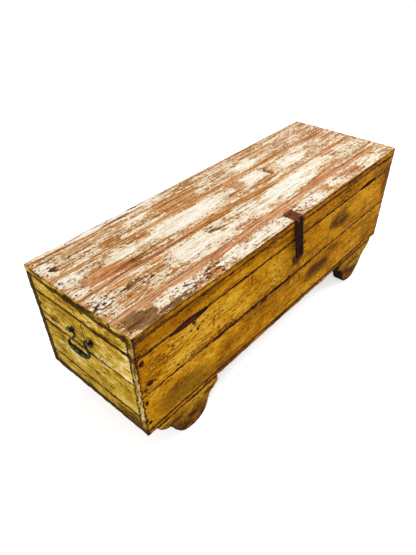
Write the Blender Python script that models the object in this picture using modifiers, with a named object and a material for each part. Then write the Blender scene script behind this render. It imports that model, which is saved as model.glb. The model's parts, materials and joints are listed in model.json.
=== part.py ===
"""A painted plank trunk for blankets: a long nailed case on four sawn bracket feet, a lid hinged
along the back, a hinged hasp over a staple at the front and a drop bail handle on each end.

Metres, +Z up. X runs along the length, -Y is the front, and the floor is Z = 0. The case is
centred on its own frame, and that frame is set back a little so that the whole trunk, with its
hinges and its hasp, is centred on the origin.
"""

import math

import bmesh
import bpy
from mathutils import Matrix, Vector

# Case, lid and feet
TRUNK_LENGTH = 1.270
TRUNK_DEPTH = 0.422
TRUNK_HEIGHT = 0.498
LID_HEIGHT = 0.072
FOOT_HEIGHT = 0.131
FOOT_THICKNESS = 0.044
FOOT_WIDTH = 0.254
FOOT_INSET = 0.031

# Boards
WALL_THICKNESS = 0.021
TOP_THICKNESS = 0.022
FLOOR_THICKNESS = 0.0195
FRONT_UPPER_HEIGHT = 0.135
BACK_UPPER_HEIGHT = 0.122
END_UPPER_HEIGHT = 0.1045
END_LOWER_HEIGHT = 0.0476
TOP_BOARD_WIDTHS = {"top_board_back": 0.118, "top_board_rear_middle": 0.114, "top_board_front_middle": 0.111}
FLOOR_BOARD_NAMES = ("floor_board_back", "floor_board_middle", "floor_board_front")
EDGE_EASE = 0.0014
BATTEN_WIDTH = 0.045
BATTEN_THICKNESS = 0.018
BATTEN_SPACING = 0.620
BATTEN_EASE = 0.003

# Broken edges where the front of the lid meets the front of the case
CHIP_DEPTH = 0.009
LEFT_CHIP = {"x": -0.453, "half_length": 0.064, "up": 0.0075, "down": 0.0105}
RIGHT_CHIP = {"x": 0.458, "half_length": 0.060, "up": 0.0095, "down": 0.006}

# Clearances
SEAT_GAP = 0.0003
SEAM_GAP = 0.0006
RIM_GAP = 0.0008
PIN_CLEARANCE = 0.0005
KNUCKLE_GAP = 0.0004

# Butt hinges on the back
HINGE_SPACING = 0.760
HINGE_WIDTH = 0.050
HINGE_LEAF = 0.036
HINGE_PLATE = 0.0025
HINGE_RADIUS = 0.0050
HINGE_PIN_RADIUS = 0.0022
HINGE_MIDDLE_KNUCKLE = 0.018
HINGE_NAIL_SPREAD = 0.026
HINGE_NAIL_DROP = 0.022

# Hasp on the front edge of the lid, and its staple
HASP_X = 0.007
HASP_WIDTH = 0.038
HASP_LEAF = 0.048
HASP_PLATE = 0.0035
HASP_RADIUS = 0.0055
HASP_PIN_RADIUS = 0.0024
HASP_MIDDLE_KNUCKLE = 0.019
HASP_CORNER = 0.005
HASP_END_BAR = 0.012
HASP_NAIL_NEAR = 0.017
HASP_NAIL_FAR = 0.037
SLOT_CLEARANCE = 0.0012
SLOT_END_CLEARANCE = 0.003
STAPLE_DROP = 0.103
STAPLE_REACH = 0.014
STAPLE_WIRE = 0.0020
STAPLE_LEG = 0.0060
STAPLE_CLENCH = 0.012
HASP_HANG_CLEARANCE = 0.0006

# Bail handles on the ends, with their posts and roves
BAIL_DROP = 0.124
BAIL_REACH = 0.0090
BAIL_TILT = math.radians(14)
POST_SPREAD = 0.076
POST_STEM = 0.0040
POST_COLLAR = 0.0085
POST_COLLAR_HEIGHT = 0.0025
POST_NECK = 0.0045
POST_BALL = 0.0060
PINTLE_RADIUS = 0.0026
BAIL_NECK = 0.0032
BAIL_BELLY = 0.0077
BAIL_KNOB = 0.0058
BAIL_KNOB_LENGTH = 0.0092
BAIL_DEPTH = 0.046
BAIL_WAIST = 0.018
BAIL_FLARE = 0.005
ROVE_RADIUS = 0.0090
ROVE_THICKNESS = 0.0020
RIVET_RADIUS = 0.0060
RIVET_HEIGHT = 0.0025

# Nails through the hinges and the hasp
NAIL_SHANK = 0.0016
NAIL_LENGTH = 0.016
NAIL_HEAD = 0.0040
NAIL_DOME = 0.0016

# Colour, roughness and metallic value of each finish
FINISHES = {
    "ochre_paint": ((0.56, 0.27, 0.02), 0.62, 0.0),
    "pale_ochre_paint": ((0.60, 0.41, 0.09), 0.66, 0.0),
    "cream_paint": ((0.80, 0.72, 0.56), 0.78, 0.0),
    "bare_wood": ((0.36, 0.19, 0.08), 0.80, 0.0),
    "rusted_iron": ((0.09, 0.035, 0.02), 0.72, 0.6),
    "forged_iron": ((0.018, 0.021, 0.016), 0.55, 0.8),
}

# Levels and planes that several pieces share
HALF_LENGTH = TRUNK_LENGTH / 2
HALF_DEPTH = TRUNK_DEPTH / 2
RIM_Z = TRUNK_HEIGHT - LID_HEIGHT
LID_LOW = RIM_Z + RIM_GAP / 2
CASE_HIGH = RIM_Z - RIM_GAP / 2
TOP_UNDERSIDE = TRUNK_HEIGHT - TOP_THICKNESS
WALL_LOW = FOOT_HEIGHT + FLOOR_THICKNESS + SEAT_GAP
INNER_HALF_DEPTH = HALF_DEPTH - WALL_THICKNESS - SEAT_GAP

# The hasp turns about a pin that stands off the front face by its knuckle, and hangs at rest
# just far enough out for its slot and end bar to pass in front of the staple.
HASP_STAND_OFF = SEAT_GAP + HASP_RADIUS
HASP_AXIS = Vector((HASP_X, -HALF_DEPTH - HASP_STAND_OFF, TRUNK_HEIGHT + SEAT_GAP + HASP_PLATE - HASP_RADIUS))
STAPLE_Z = TRUNK_HEIGHT - STAPLE_DROP
STAPLE_FROM_AXIS = HASP_AXIS.z - STAPLE_Z
SLOT_HALF = STAPLE_LEG + STAPLE_WIRE + SLOT_END_CLEARANCE
HASP_LENGTH = STAPLE_FROM_AXIS + SLOT_HALF + HASP_END_BAR
HASP_SWING = math.asin((STAPLE_REACH + HASP_HANG_CLEARANCE - SEAT_GAP) / STAPLE_FROM_AXIS)

HINGE_STAND_OFF = SEAT_GAP + HINGE_RADIUS
LID_AXIS = Vector((0, HALF_DEPTH + HINGE_STAND_OFF, RIM_Z))

# How far the hasp reaches in front of the case, and the hinges behind it
FRONT_REACH = (
    HASP_STAND_OFF
    - (HASP_RADIUS - HASP_PLATE) * math.cos(HASP_SWING)
    + HASP_LENGTH * math.sin(HASP_SWING)
)
BACK_REACH = HINGE_STAND_OFF + HINGE_RADIUS


def clear_scene():
    for obj in list(bpy.data.objects):
        bpy.data.objects.remove(obj, do_unlink=True)
    for collection in list(bpy.data.collections):
        bpy.data.collections.remove(collection)


def new_collection(name):
    collection = bpy.data.collections.new(name)
    bpy.context.scene.collection.children.link(collection)
    return collection


def material(name, finish):
    """A Principled BSDF material with the colour, roughness and metallic value of a finish."""
    colour, roughness, metallic = FINISHES[finish]
    made = bpy.data.materials.new(name)
    made.use_nodes = True
    shader = made.node_tree.nodes["Principled BSDF"]
    shader.inputs["Base Color"].default_value = (*colour, 1.0)
    shader.inputs["Roughness"].default_value = roughness
    shader.inputs["Metallic"].default_value = metallic
    made.diffuse_color = (*colour, 1.0)
    return made


def frame(name, at, parent=None, turn=(0, 0, 0)):
    """An empty that carries pieces, at a point of the case's own frame."""
    empty = bpy.data.objects.new(name, None)
    empty.empty_display_size = 0.05
    trunk.objects.link(empty)
    empty["case_point"] = tuple(at)
    put(empty, at, parent)
    empty.rotation_euler = turn
    return empty


def put(obj, at, parent):
    """Sets an object at a point of the case's frame, under the empty that carries it."""
    if parent is None:
        obj.location = at
        return
    obj.parent = parent
    obj.location = Vector(at) - Vector(parent["case_point"])


def finish_part(obj, name, at, parent, finish):
    obj.name = name
    obj.data.name = name
    obj.data.materials.clear()
    obj.data.materials.append(material(f"{name}_{finish}", finish))
    put(obj, at, parent)
    return obj


def as_cutter(obj, name, at, parent):
    """Keeps a shape as a hidden cutter, in the cutters' own collection."""
    obj.name = name
    obj.hide_render = True
    obj.display_type = "WIRE"
    for collection in list(obj.users_collection):
        collection.objects.unlink(obj)
    cutters.objects.link(obj)
    put(obj, at, parent)
    return obj


def cut(obj, cutter, operation="DIFFERENCE"):
    boolean = obj.modifiers.new(cutter.name, "BOOLEAN")
    boolean.operation = operation
    boolean.object = cutter
    boolean.solver = "EXACT"


def object_of(mesh):
    obj = bpy.data.objects.new(mesh.name, mesh)
    trunk.objects.link(obj)
    return obj


def box_mesh(size):
    """A box of this size, centred, with its scale applied."""
    mesh = bpy.data.meshes.new("box")
    shape = bmesh.new()
    bmesh.ops.create_cube(shape, size=1.0, matrix=Matrix.Diagonal((*size, 1.0)))
    shape.to_mesh(mesh)
    shape.free()
    return mesh


def rod_mesh(radius, length, sides=20):
    """A plain rod along X, centred."""
    mesh = bpy.data.meshes.new("rod")
    shape = bmesh.new()
    bmesh.ops.create_cone(
        shape,
        cap_ends=True,
        segments=sides,
        radius1=radius,
        radius2=radius,
        depth=length,
        matrix=Matrix.Rotation(math.pi / 2, 4, "Y"),
    )
    shape.to_mesh(mesh)
    shape.free()
    return mesh


def plank(name, low, high, parent, finish, ease=EDGE_EASE):
    """A board between two corners of the case's frame, with its edges eased."""
    low, high = Vector(low), Vector(high)
    obj = finish_part(object_of(box_mesh(high - low)), name, (low + high) / 2, parent, finish)
    bevel = obj.modifiers.new("eased edges", "BEVEL")
    bevel.width = ease
    bevel.segments = 1
    return obj


def arc(centre, radius, start, end, steps):
    """Points along an arc, both ends included; angles in radians."""
    turn = (end - start) / steps
    return [
        (centre[0] + radius * math.cos(start + turn * i), centre[1] + radius * math.sin(start + turn * i))
        for i in range(steps + 1)
    ]


def outline_mesh(name, splines, thickness):
    """A flat outline in XY, extruded along Z. Each spline is (points, smooth): a smooth point's
    handles are automatic, and where smooth is None the spline has straight runs."""
    curve = bpy.data.curves.new(name, "CURVE")
    curve.dimensions = "2D"
    curve.fill_mode = "BOTH"
    curve.extrude = thickness / 2
    curve.resolution_u = 6
    for points, smooth in splines:
        if smooth is None:
            spline = curve.splines.new("POLY")
            spline.points.add(len(points) - 1)
            for point, (x, y) in zip(spline.points, points):
                point.co = (x, y, 0, 1)
        else:
            spline = curve.splines.new("BEZIER")
            spline.bezier_points.add(len(points) - 1)
            for point, (x, y), rounded in zip(spline.bezier_points, points, smooth):
                point.co = (x, y, 0)
                point.handle_left_type = point.handle_right_type = "AUTO" if rounded else "VECTOR"
        spline.use_cyclic_u = True
    mesh = mesh_of_curve(curve)
    mesh.shade_flat()
    return mesh


def mesh_of_curve(curve):
    """The closed mesh of a curve, with the doubled points at its caps welded."""
    obj = bpy.data.objects.new(curve.name, curve)
    bpy.context.scene.collection.objects.link(obj)
    graph = bpy.context.evaluated_depsgraph_get()
    mesh = bpy.data.meshes.new_from_object(obj.evaluated_get(graph))
    bpy.data.objects.remove(obj, do_unlink=True)
    shape = bmesh.new()
    shape.from_mesh(mesh)
    bmesh.ops.remove_doubles(shape, verts=shape.verts, dist=0.00001)
    bmesh.ops.recalc_face_normals(shape, faces=shape.faces)
    shape.to_mesh(mesh)
    shape.free()
    return mesh


def turned(name, profile, at, parent, finish, turn=(0, 0, 0), sides=20):
    """A piece turned about Z from a profile of (radius, height) points, top to bottom."""
    mesh = bpy.data.meshes.new(name)
    closed = profile[0][0] > 0
    count = len(profile)
    edges = [(i, i + 1) for i in range(count - 1)] + ([(count - 1, 0)] if closed else [])
    mesh.from_pydata([(radius, 0, height) for radius, height in profile], edges, [])
    obj = finish_part(object_of(mesh), name, at, parent, finish)
    obj.rotation_euler = turn
    screw = obj.modifiers.new("turned", "SCREW")
    screw.steps = screw.render_steps = sides
    screw.use_merge_vertices = True
    screw.merge_threshold = 0.00001
    screw.use_smooth_shade = False
    return obj


def wire_mesh(name, points, sides_resolution, radii=None, radius=None, smooth_steps=1):
    """A round bar along points in space. With smooth_steps over 1 it follows a smooth curve
    through the points, and radii gives its radius at each of them."""
    curve = bpy.data.curves.new(name, "CURVE")
    curve.dimensions = "3D"
    curve.use_fill_caps = True
    curve.bevel_resolution = sides_resolution
    curve.bevel_depth = radius if radius else 1.0
    curve.resolution_u = smooth_steps
    if radii is None:
        spline = curve.splines.new("POLY")
        spline.points.add(len(points) - 1)
        for point, at in zip(spline.points, points):
            point.co = (*at, 1)
        return mesh_of_curve(curve)
    spline = curve.splines.new("BEZIER")
    spline.bezier_points.add(len(points) - 1)
    for point, at, size in zip(spline.bezier_points, points, radii):
        point.co = at
        point.handle_left_type = point.handle_right_type = "AUTO"
        point.radius = size
    return mesh_of_curve(curve)


def build_case():
    """Walls, floor and feet. The long front and back boards lap over the ends of the end boards,
    and the floor boards are nailed up under all four walls."""
    front = -HALF_DEPTH
    back = HALF_DEPTH
    for side, upper, outer, inner in (
        ("front", FRONT_UPPER_HEIGHT, front, front + WALL_THICKNESS),
        ("back", BACK_UPPER_HEIGHT, back, back - WALL_THICKNESS),
    ):
        seam = CASE_HIGH - upper
        near, far = min(outer, inner), max(outer, inner)
        finish = "ochre_paint" if side == "front" else "bare_wood"
        for level, low, high in (
            ("upper", seam, CASE_HIGH),
            ("lower", WALL_LOW, seam - SEAM_GAP),
        ):
            plank(
                f"{side}_board_{level}",
                (-HALF_LENGTH, near, low),
                (HALF_LENGTH, far, high),
                case,
                finish,
            )
    upper_seam = CASE_HIGH - END_UPPER_HEIGHT
    lower_seam = WALL_LOW + END_LOWER_HEIGHT
    for side, sign in (("left", -1), ("right", 1)):
        low_x, high_x = sorted((sign * HALF_LENGTH, sign * (HALF_LENGTH - WALL_THICKNESS)))
        for level, low, high in (
            ("upper", upper_seam, CASE_HIGH),
            ("middle", lower_seam + SEAM_GAP, upper_seam - SEAM_GAP),
            ("lower", WALL_LOW, lower_seam),
        ):
            plank(
                f"{side}_end_board_{level}",
                (low_x, -INNER_HALF_DEPTH, low),
                (high_x, INNER_HALF_DEPTH, high),
                case,
                "pale_ochre_paint",
            )
    count = len(FLOOR_BOARD_NAMES)
    width = (TRUNK_DEPTH - (count - 1) * SEAM_GAP) / count
    for i, name in enumerate(FLOOR_BOARD_NAMES):
        far = HALF_DEPTH - i * (width + SEAM_GAP)
        plank(
            name,
            (-HALF_LENGTH, far - width, FOOT_HEIGHT),
            (HALF_LENGTH, far, FOOT_HEIGHT + FLOOR_THICKNESS),
            case,
            "ochre_paint" if name.endswith("front") else "bare_wood",
        )


def foot_outline():
    """The sawn outline of a left foot, from its outer top corner, as (points, smooth) for
    outline_mesh. X is from the foot's outer end and Y is up from the floor. A small shoulder on
    each side runs into one broad lobe, cut flat where it stands on the floor."""
    top = FOOT_HEIGHT - SEAT_GAP
    width = FOOT_WIDTH
    shapes = (
        (0.000, 1.000, False),
        (0.063, 0.806, True),
        (0.134, 0.700, True),
        (0.194, 0.645, False),
        (0.232, 0.525, True),
        (0.283, 0.325, True),
        (0.330, 0.200, True),
        (0.390, 0.085, True),
        (0.470, 0.000, False),
        (0.580, 0.000, False),
        (0.685, 0.080, True),
        (0.745, 0.165, True),
        (0.790, 0.350, True),
        (0.828, 0.545, True),
        (0.862, 0.634, True),
        (0.930, 0.710, True),
        (0.985, 0.780, True),
        (0.998, 0.850, True),
        (0.985, 1.000, False),
    )
    points = [(width * across, top * up) for across, up, _ in shapes]
    return points, [rounded for _, _, rounded in shapes]


def build_feet():
    """Four feet sawn from thick plank, flush with the front or the back of the case."""
    points, smooth = foot_outline()
    upright = Matrix.Rotation(math.pi / 2, 4, "X")
    for face, y in (("front", -HALF_DEPTH + FOOT_THICKNESS / 2), ("back", HALF_DEPTH - FOOT_THICKNESS / 2)):
        for side, sign in (("left", -1), ("right", 1)):
            mirrored = [(-sign * x, up) for x, up in points]
            mesh = outline_mesh("foot", [(mirrored, smooth)], FOOT_THICKNESS)
            mesh.transform(upright)
            outer = sign * (HALF_LENGTH - FOOT_INSET)
            obj = finish_part(object_of(mesh), f"{face}_{side}_foot", (outer, y, 0), case, "ochre_paint")
            bevel = obj.modifiers.new("eased edges", "BEVEL")
            bevel.width = EDGE_EASE
            bevel.segments = 1
            bevel.limit_method = "ANGLE"
            bevel.angle_limit = math.radians(60)


def build_lid():
    """Four skirt boards, the top boards nailed down on them, and two battens that tie the top
    boards together on the inside."""
    skirt_high = TOP_UNDERSIDE - SEAT_GAP
    for side, near in (("front", -HALF_DEPTH), ("back", HALF_DEPTH - WALL_THICKNESS)):
        plank(
            f"lid_{side}_skirt",
            (-HALF_LENGTH, near, LID_LOW),
            (HALF_LENGTH, near + WALL_THICKNESS, skirt_high),
            lid,
            "ochre_paint" if side == "front" else "bare_wood",
        )
    for side, sign in (("left", -1), ("right", 1)):
        low_x, high_x = sorted((sign * HALF_LENGTH, sign * (HALF_LENGTH - WALL_THICKNESS)))
        plank(
            f"lid_{side}_skirt",
            (low_x, -INNER_HALF_DEPTH, LID_LOW),
            (high_x, INNER_HALF_DEPTH, skirt_high),
            lid,
            "pale_ochre_paint",
        )
    far = HALF_DEPTH
    for name, width in TOP_BOARD_WIDTHS.items():
        plank(
            name,
            (-HALF_LENGTH, far - width, TOP_UNDERSIDE),
            (HALF_LENGTH, far, TRUNK_HEIGHT),
            lid,
            "cream_paint",
        )
        far -= width + SEAM_GAP
    plank(
        "top_board_front",
        (-HALF_LENGTH, -HALF_DEPTH, TOP_UNDERSIDE),
        (HALF_LENGTH, far, TRUNK_HEIGHT),
        lid,
        "cream_paint",
    )
    for side, sign in (("left", -1), ("right", 1)):
        middle = sign * BATTEN_SPACING / 2
        plank(
            f"lid_batten_{side}",
            (middle - BATTEN_WIDTH / 2, -INNER_HALF_DEPTH, skirt_high - BATTEN_THICKNESS),
            (middle + BATTEN_WIDTH / 2, INNER_HALF_DEPTH, skirt_high),
            lid,
            "bare_wood",
            BATTEN_EASE,
        )


def chip_front_edges():
    """Two long splinters are gone from the front, half from the lid and half from the case."""
    steps = 10
    upright = Matrix.Rotation(math.pi / 2, 4, "X")
    for name, chip in (("left_chip", LEFT_CHIP), ("right_chip", RIGHT_CHIP)):
        across = [chip["half_length"] * (2 * i / steps - 1) for i in range(steps + 1)]
        swell = [1 - (x / chip["half_length"]) ** 2 for x in across]
        upper = [(x, chip["up"] * s) for x, s in zip(across, swell)]
        lower = [(x, -chip["down"] * s) for x, s in zip(across, swell)]
        mesh = outline_mesh(name, [(upper + lower[-2:0:-1], None)], 2 * CHIP_DEPTH)
        mesh.transform(upright)
        cutter = as_cutter(object_of(mesh), name, (chip["x"], -HALF_DEPTH, RIM_Z), case)
        cut(bpy.data.objects["front_board_upper"], cutter)
        cut(bpy.data.objects["lid_front_skirt"], cutter)


def leaf_mesh(width, length, plate, radius, bore):
    """A hinge leaf with one knuckle along its whole width, rolled from its own plate. The pin's
    axis is X, the plate hangs down from it, and its seat faces +Y at the knuckle's radius."""
    front = radius - plate
    meet = -math.acos(front / radius)
    outer = [(radius, -length), *arc((0, 0), radius, 0, 2 * math.pi + meet, 22), (front, -length)]
    hole = arc((0, 0), bore, 0, 2 * math.pi, 16)[:-1]
    mesh = outline_mesh("leaf", [(outer, None), (hole, None)], width)
    mesh.transform(Matrix(((0, 0, 1, 0), (1, 0, 0, 0), (0, 1, 0, 0), (0, 0, 0, 1))))
    return mesh


def notch(obj, name, low_x, high_x, radius, at, parent, turn):
    """Cuts a leaf back to below the knuckle between two places along its pin."""
    reach = 2 * (radius + KNUCKLE_GAP)
    mesh = box_mesh((high_x - low_x, reach, reach))
    mesh.transform(Matrix.Translation(((low_x + high_x) / 2, 0, 0)))
    cutter = as_cutter(object_of(mesh), name, at, parent)
    cutter.rotation_euler = turn
    cut(obj, cutter)


def hinge_leaf(name, sizes, knuckles, at, parent, finish, turn):
    """One leaf of a hinge. knuckles is middle for the leaf that has the middle knuckle, and
    outer for the leaf that has the two at its ends."""
    mesh = leaf_mesh(sizes["width"], sizes["length"], sizes["plate"], sizes["radius"], sizes["bore"])
    obj = finish_part(object_of(mesh), name, at, parent, finish)
    obj.rotation_euler = turn
    middle = sizes["middle"] / 2
    end = sizes["width"] / 2 + KNUCKLE_GAP
    if knuckles == "outer":
        notch(obj, f"{name}_notch", -middle - KNUCKLE_GAP, middle + KNUCKLE_GAP, sizes["radius"], at, parent, turn)
    else:
        notch(obj, f"{name}_notch_left", -end, -middle, sizes["radius"], at, parent, turn)
        notch(obj, f"{name}_notch_right", middle, end, sizes["radius"], at, parent, turn)
    return obj


def hinge_pin(name, sizes, at, parent, finish):
    """A pin along X through the knuckles, headed over at both ends."""
    half = sizes["width"] / 2 + SEAT_GAP
    head = sizes["pin"] * 1.6
    cap = sizes["pin"] * 0.6
    profile = [(0, half + cap), (head * 0.8, half + cap), (head, half + cap / 2), (head, half), (sizes["pin"], half)]
    profile += [(radius, -height) for radius, height in reversed(profile)]
    return turned(name, profile, at, parent, finish, (0, math.pi / 2, 0), 16)


def nail(name, at, parent, finish, turn, boards):
    """A clout nail driven along its own -Z from a seat at its origin, with its hole cut in each
    of the pieces that it goes through."""
    seat = SEAT_GAP
    profile = [(0, seat + NAIL_DOME)]
    profile += [(NAIL_HEAD * math.sin(a), seat + NAIL_DOME * math.cos(a)) for a in (0.5, 1.0)]
    profile += [(NAIL_HEAD, seat), (NAIL_SHANK, seat), (NAIL_SHANK, -0.75 * NAIL_LENGTH), (0, -NAIL_LENGTH)]
    obj = turned(name, profile, at, parent, finish, turn, 12)
    hole = rod_mesh(NAIL_SHANK + SEAT_GAP, 2 * NAIL_LENGTH + 2 * SEAT_GAP, 16)
    hole.transform(Matrix.Rotation(math.pi / 2, 4, "Y"))
    cutter = as_cutter(object_of(hole), f"{name}_hole", at, parent)
    cutter.rotation_euler = turn
    for board in boards:
        cut(board, cutter)
    return obj


def build_hinges():
    """Two butt hinges with leaves on the back faces of the case and of the lid."""
    sizes = {
        "width": HINGE_WIDTH,
        "length": HINGE_LEAF,
        "plate": HINGE_PLATE,
        "radius": HINGE_RADIUS,
        "bore": HINGE_PIN_RADIUS + PIN_CLEARANCE,
        "pin": HINGE_PIN_RADIUS,
        "middle": HINGE_MIDDLE_KNUCKLE,
    }
    hangs = (0, 0, math.pi)
    stands = (math.pi, 0, 0)
    faces_back = (-math.pi / 2, 0, 0)
    surface = LID_AXIS.y - HINGE_RADIUS + HINGE_PLATE
    for side, sign in (("left", -1), ("right", 1)):
        at = Vector((sign * HINGE_SPACING / 2, LID_AXIS.y, LID_AXIS.z))
        lower = hinge_leaf(f"{side}_hinge_lower_leaf", sizes, "outer", at, case, "rusted_iron", hangs)
        upper = hinge_leaf(f"{side}_hinge_upper_leaf", sizes, "middle", at, lid, "rusted_iron", stands)
        hinge_pin(f"{side}_hinge_pin", sizes, at, case, "rusted_iron")
        for level, leaf, board, carrier, up in (
            ("lower", lower, "back_board_upper", case, -1),
            ("upper", upper, "lid_back_skirt", lid, 1),
        ):
            for place, spread in (("a", -1), ("b", 1)):
                seat = (at.x + spread * HINGE_NAIL_SPREAD / 2, surface, at.z + up * HINGE_NAIL_DROP)
                nail(
                    f"{side}_hinge_{level}_nail_{place}",
                    seat,
                    carrier,
                    "rusted_iron",
                    faces_back,
                    (leaf, bpy.data.objects[board]),
                )


def build_hasp():
    """A leaf on top of the lid, a pin at its front edge, and a slotted strap that hangs from it
    over the staple. All of it turns with the lid, and the strap turns on the pin as well."""
    sizes = {
        "width": HASP_WIDTH,
        "length": HASP_LEAF,
        "plate": HASP_PLATE,
        "radius": HASP_RADIUS,
        "bore": HASP_PIN_RADIUS + PIN_CLEARANCE,
        "pin": HASP_PIN_RADIUS,
        "middle": HASP_MIDDLE_KNUCKLE,
    }
    lies_back = (math.pi / 2, 0, 0)
    leaf = hinge_leaf("hasp_leaf", sizes, "outer", HASP_AXIS, lid, "rusted_iron", lies_back)
    hinge_pin("hasp_pin", sizes, HASP_AXIS, lid, "rusted_iron")
    surface = TRUNK_HEIGHT + SEAT_GAP + HASP_PLATE
    for name, back in (("hasp_nail_front", HASP_NAIL_NEAR), ("hasp_nail_back", HASP_NAIL_FAR)):
        seat = (HASP_X, HASP_AXIS.y + back, surface)
        nail(name, seat, lid, "rusted_iron", (0, 0, 0), (leaf, bpy.data.objects["top_board_front"]))

    sizes["length"] = HASP_LENGTH
    strap = hinge_leaf("hasp_strap", sizes, "middle", HASP_AXIS, hasp, "rusted_iron", (0, 0, 0))
    half = HASP_WIDTH / 2
    bottom = -HASP_LENGTH
    rounded = [
        *arc((half - HASP_CORNER, bottom + HASP_CORNER), HASP_CORNER, 0, -math.pi / 2, 4),
        *arc((HASP_CORNER - half, bottom + HASP_CORNER), HASP_CORNER, -math.pi / 2, -math.pi, 4),
        (-half, 2 * HASP_RADIUS),
        (half, 2 * HASP_RADIUS),
    ]
    upright = Matrix.Rotation(math.pi / 2, 4, "X")
    outline = outline_mesh("hasp_outline", [(rounded, None)], 4 * HASP_RADIUS)
    outline.transform(upright)
    cut(strap, as_cutter(object_of(outline), "hasp_outline", HASP_AXIS, hasp), "INTERSECT")
    slot_radius = STAPLE_WIRE + SLOT_CLEARANCE
    high = SLOT_HALF - slot_radius - STAPLE_FROM_AXIS
    low = slot_radius - SLOT_HALF - STAPLE_FROM_AXIS
    slot = arc((0, high), slot_radius, 0, math.pi, 6) + arc((0, low), slot_radius, math.pi, 2 * math.pi, 6)
    opening = outline_mesh("hasp_slot", [(slot, None)], 4 * HASP_RADIUS)
    opening.transform(upright)
    cut(strap, as_cutter(object_of(opening), "hasp_slot", HASP_AXIS, hasp))


def build_staple():
    """A round wire staple driven through the upper front board, with its legs clenched up and
    down against the inside."""
    bend = 1.5 * STAPLE_WIRE
    inside = WALL_THICKNESS + SEAT_GAP + STAPLE_WIRE
    crown = STAPLE_REACH - STAPLE_WIRE - STAPLE_LEG
    clench = arc((inside - bend, STAPLE_LEG + bend), bend, 0, -math.pi / 2, 4)
    upper = [(inside, STAPLE_LEG + bend + STAPLE_CLENCH), *clench]
    lower = [(depth, -height) for depth, height in reversed(upper)]
    bow = arc((-crown, 0), STAPLE_LEG, math.pi / 2, 3 * math.pi / 2, 8)
    path = [(0, depth, height) for depth, height in upper + bow + lower]
    mesh = wire_mesh("staple", path, 3, radius=STAPLE_WIRE)
    mesh.shade_smooth()
    at = (HASP_X, -HALF_DEPTH, STAPLE_Z)
    finish_part(object_of(mesh), "staple", at, case, "rusted_iron")
    board = bpy.data.objects["front_board_upper"]
    for name, up in (("staple_hole_upper", 1), ("staple_hole_lower", -1)):
        mesh = rod_mesh(STAPLE_WIRE + SEAT_GAP + KNUCKLE_GAP, 4 * WALL_THICKNESS)
        mesh.transform(Matrix.Rotation(math.pi / 2, 4, "Z"))
        place = (HASP_X, -HALF_DEPTH, STAPLE_Z + up * STAPLE_LEG)
        cut(board, as_cutter(object_of(mesh), name, place, case))


def post_profile():
    """The profile of a handle post, outwards along +Z from the face of the end board: a ball for
    the eye, a neck, a collar against the board, a stem through it and a rivet over the rove."""
    collar_low = SEAT_GAP
    collar_high = SEAT_GAP + POST_COLLAR_HEIGHT
    meet = math.acos(POST_NECK / POST_BALL)
    ball = [
        (radius, BAIL_REACH + height)
        for radius, height in arc((0, 0), POST_BALL, math.pi / 2, -meet, 10)
    ]
    ball[0] = (0, BAIL_REACH + POST_BALL)
    rivet = -(WALL_THICKNESS + 2 * SEAT_GAP + ROVE_THICKNESS)
    return [
        *ball,
        (POST_NECK, collar_high),
        (POST_COLLAR, collar_high),
        (POST_COLLAR, collar_low),
        (POST_STEM, collar_low),
        (POST_STEM, rivet),
        (RIVET_RADIUS, rivet),
        (RIVET_RADIUS * 0.8, rivet - RIVET_HEIGHT * 0.8),
        (0, rivet - RIVET_HEIGHT),
    ]


def bail_path():
    """Half of a swan-necked bail from its knob to its middle, as (across, down, radius)."""
    post = POST_SPREAD / 2
    knob = post + POST_BALL + PIN_CLEARANCE
    length = BAIL_KNOB_LENGTH
    waist = BAIL_WAIST
    depth = BAIL_DEPTH
    return (
        (knob + length, 0, BAIL_KNOB * 0.35),
        (knob + length * 0.85, 0, BAIL_KNOB * 0.80),
        (knob + length * 0.50, 0, BAIL_KNOB),
        (knob + length * 0.15, 0, BAIL_KNOB * 0.82),
        (knob, 0, PINTLE_RADIUS),
        (post, 0, PINTLE_RADIUS),
        (post - POST_BALL - PINTLE_RADIUS * 0.7, 0, PINTLE_RADIUS),
        (post - waist * 0.70, -depth * 0.02, BAIL_NECK),
        (post - waist * 0.95, depth * 0.02, BAIL_NECK),
        (post - waist, depth * 0.17, BAIL_NECK),
        (post - waist * 0.55, depth * 0.39, BAIL_NECK),
        (post + BAIL_FLARE * 0.2, depth * 0.61, BAIL_NECK),
        (post + BAIL_FLARE, depth * 0.79, BAIL_NECK * 1.15),
        (post + BAIL_FLARE * 0.1, depth * 0.92, BAIL_NECK * 1.40),
        (post - waist * 0.78, depth * 0.98, BAIL_BELLY * 0.85),
        (0, depth, BAIL_BELLY),
    )


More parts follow.
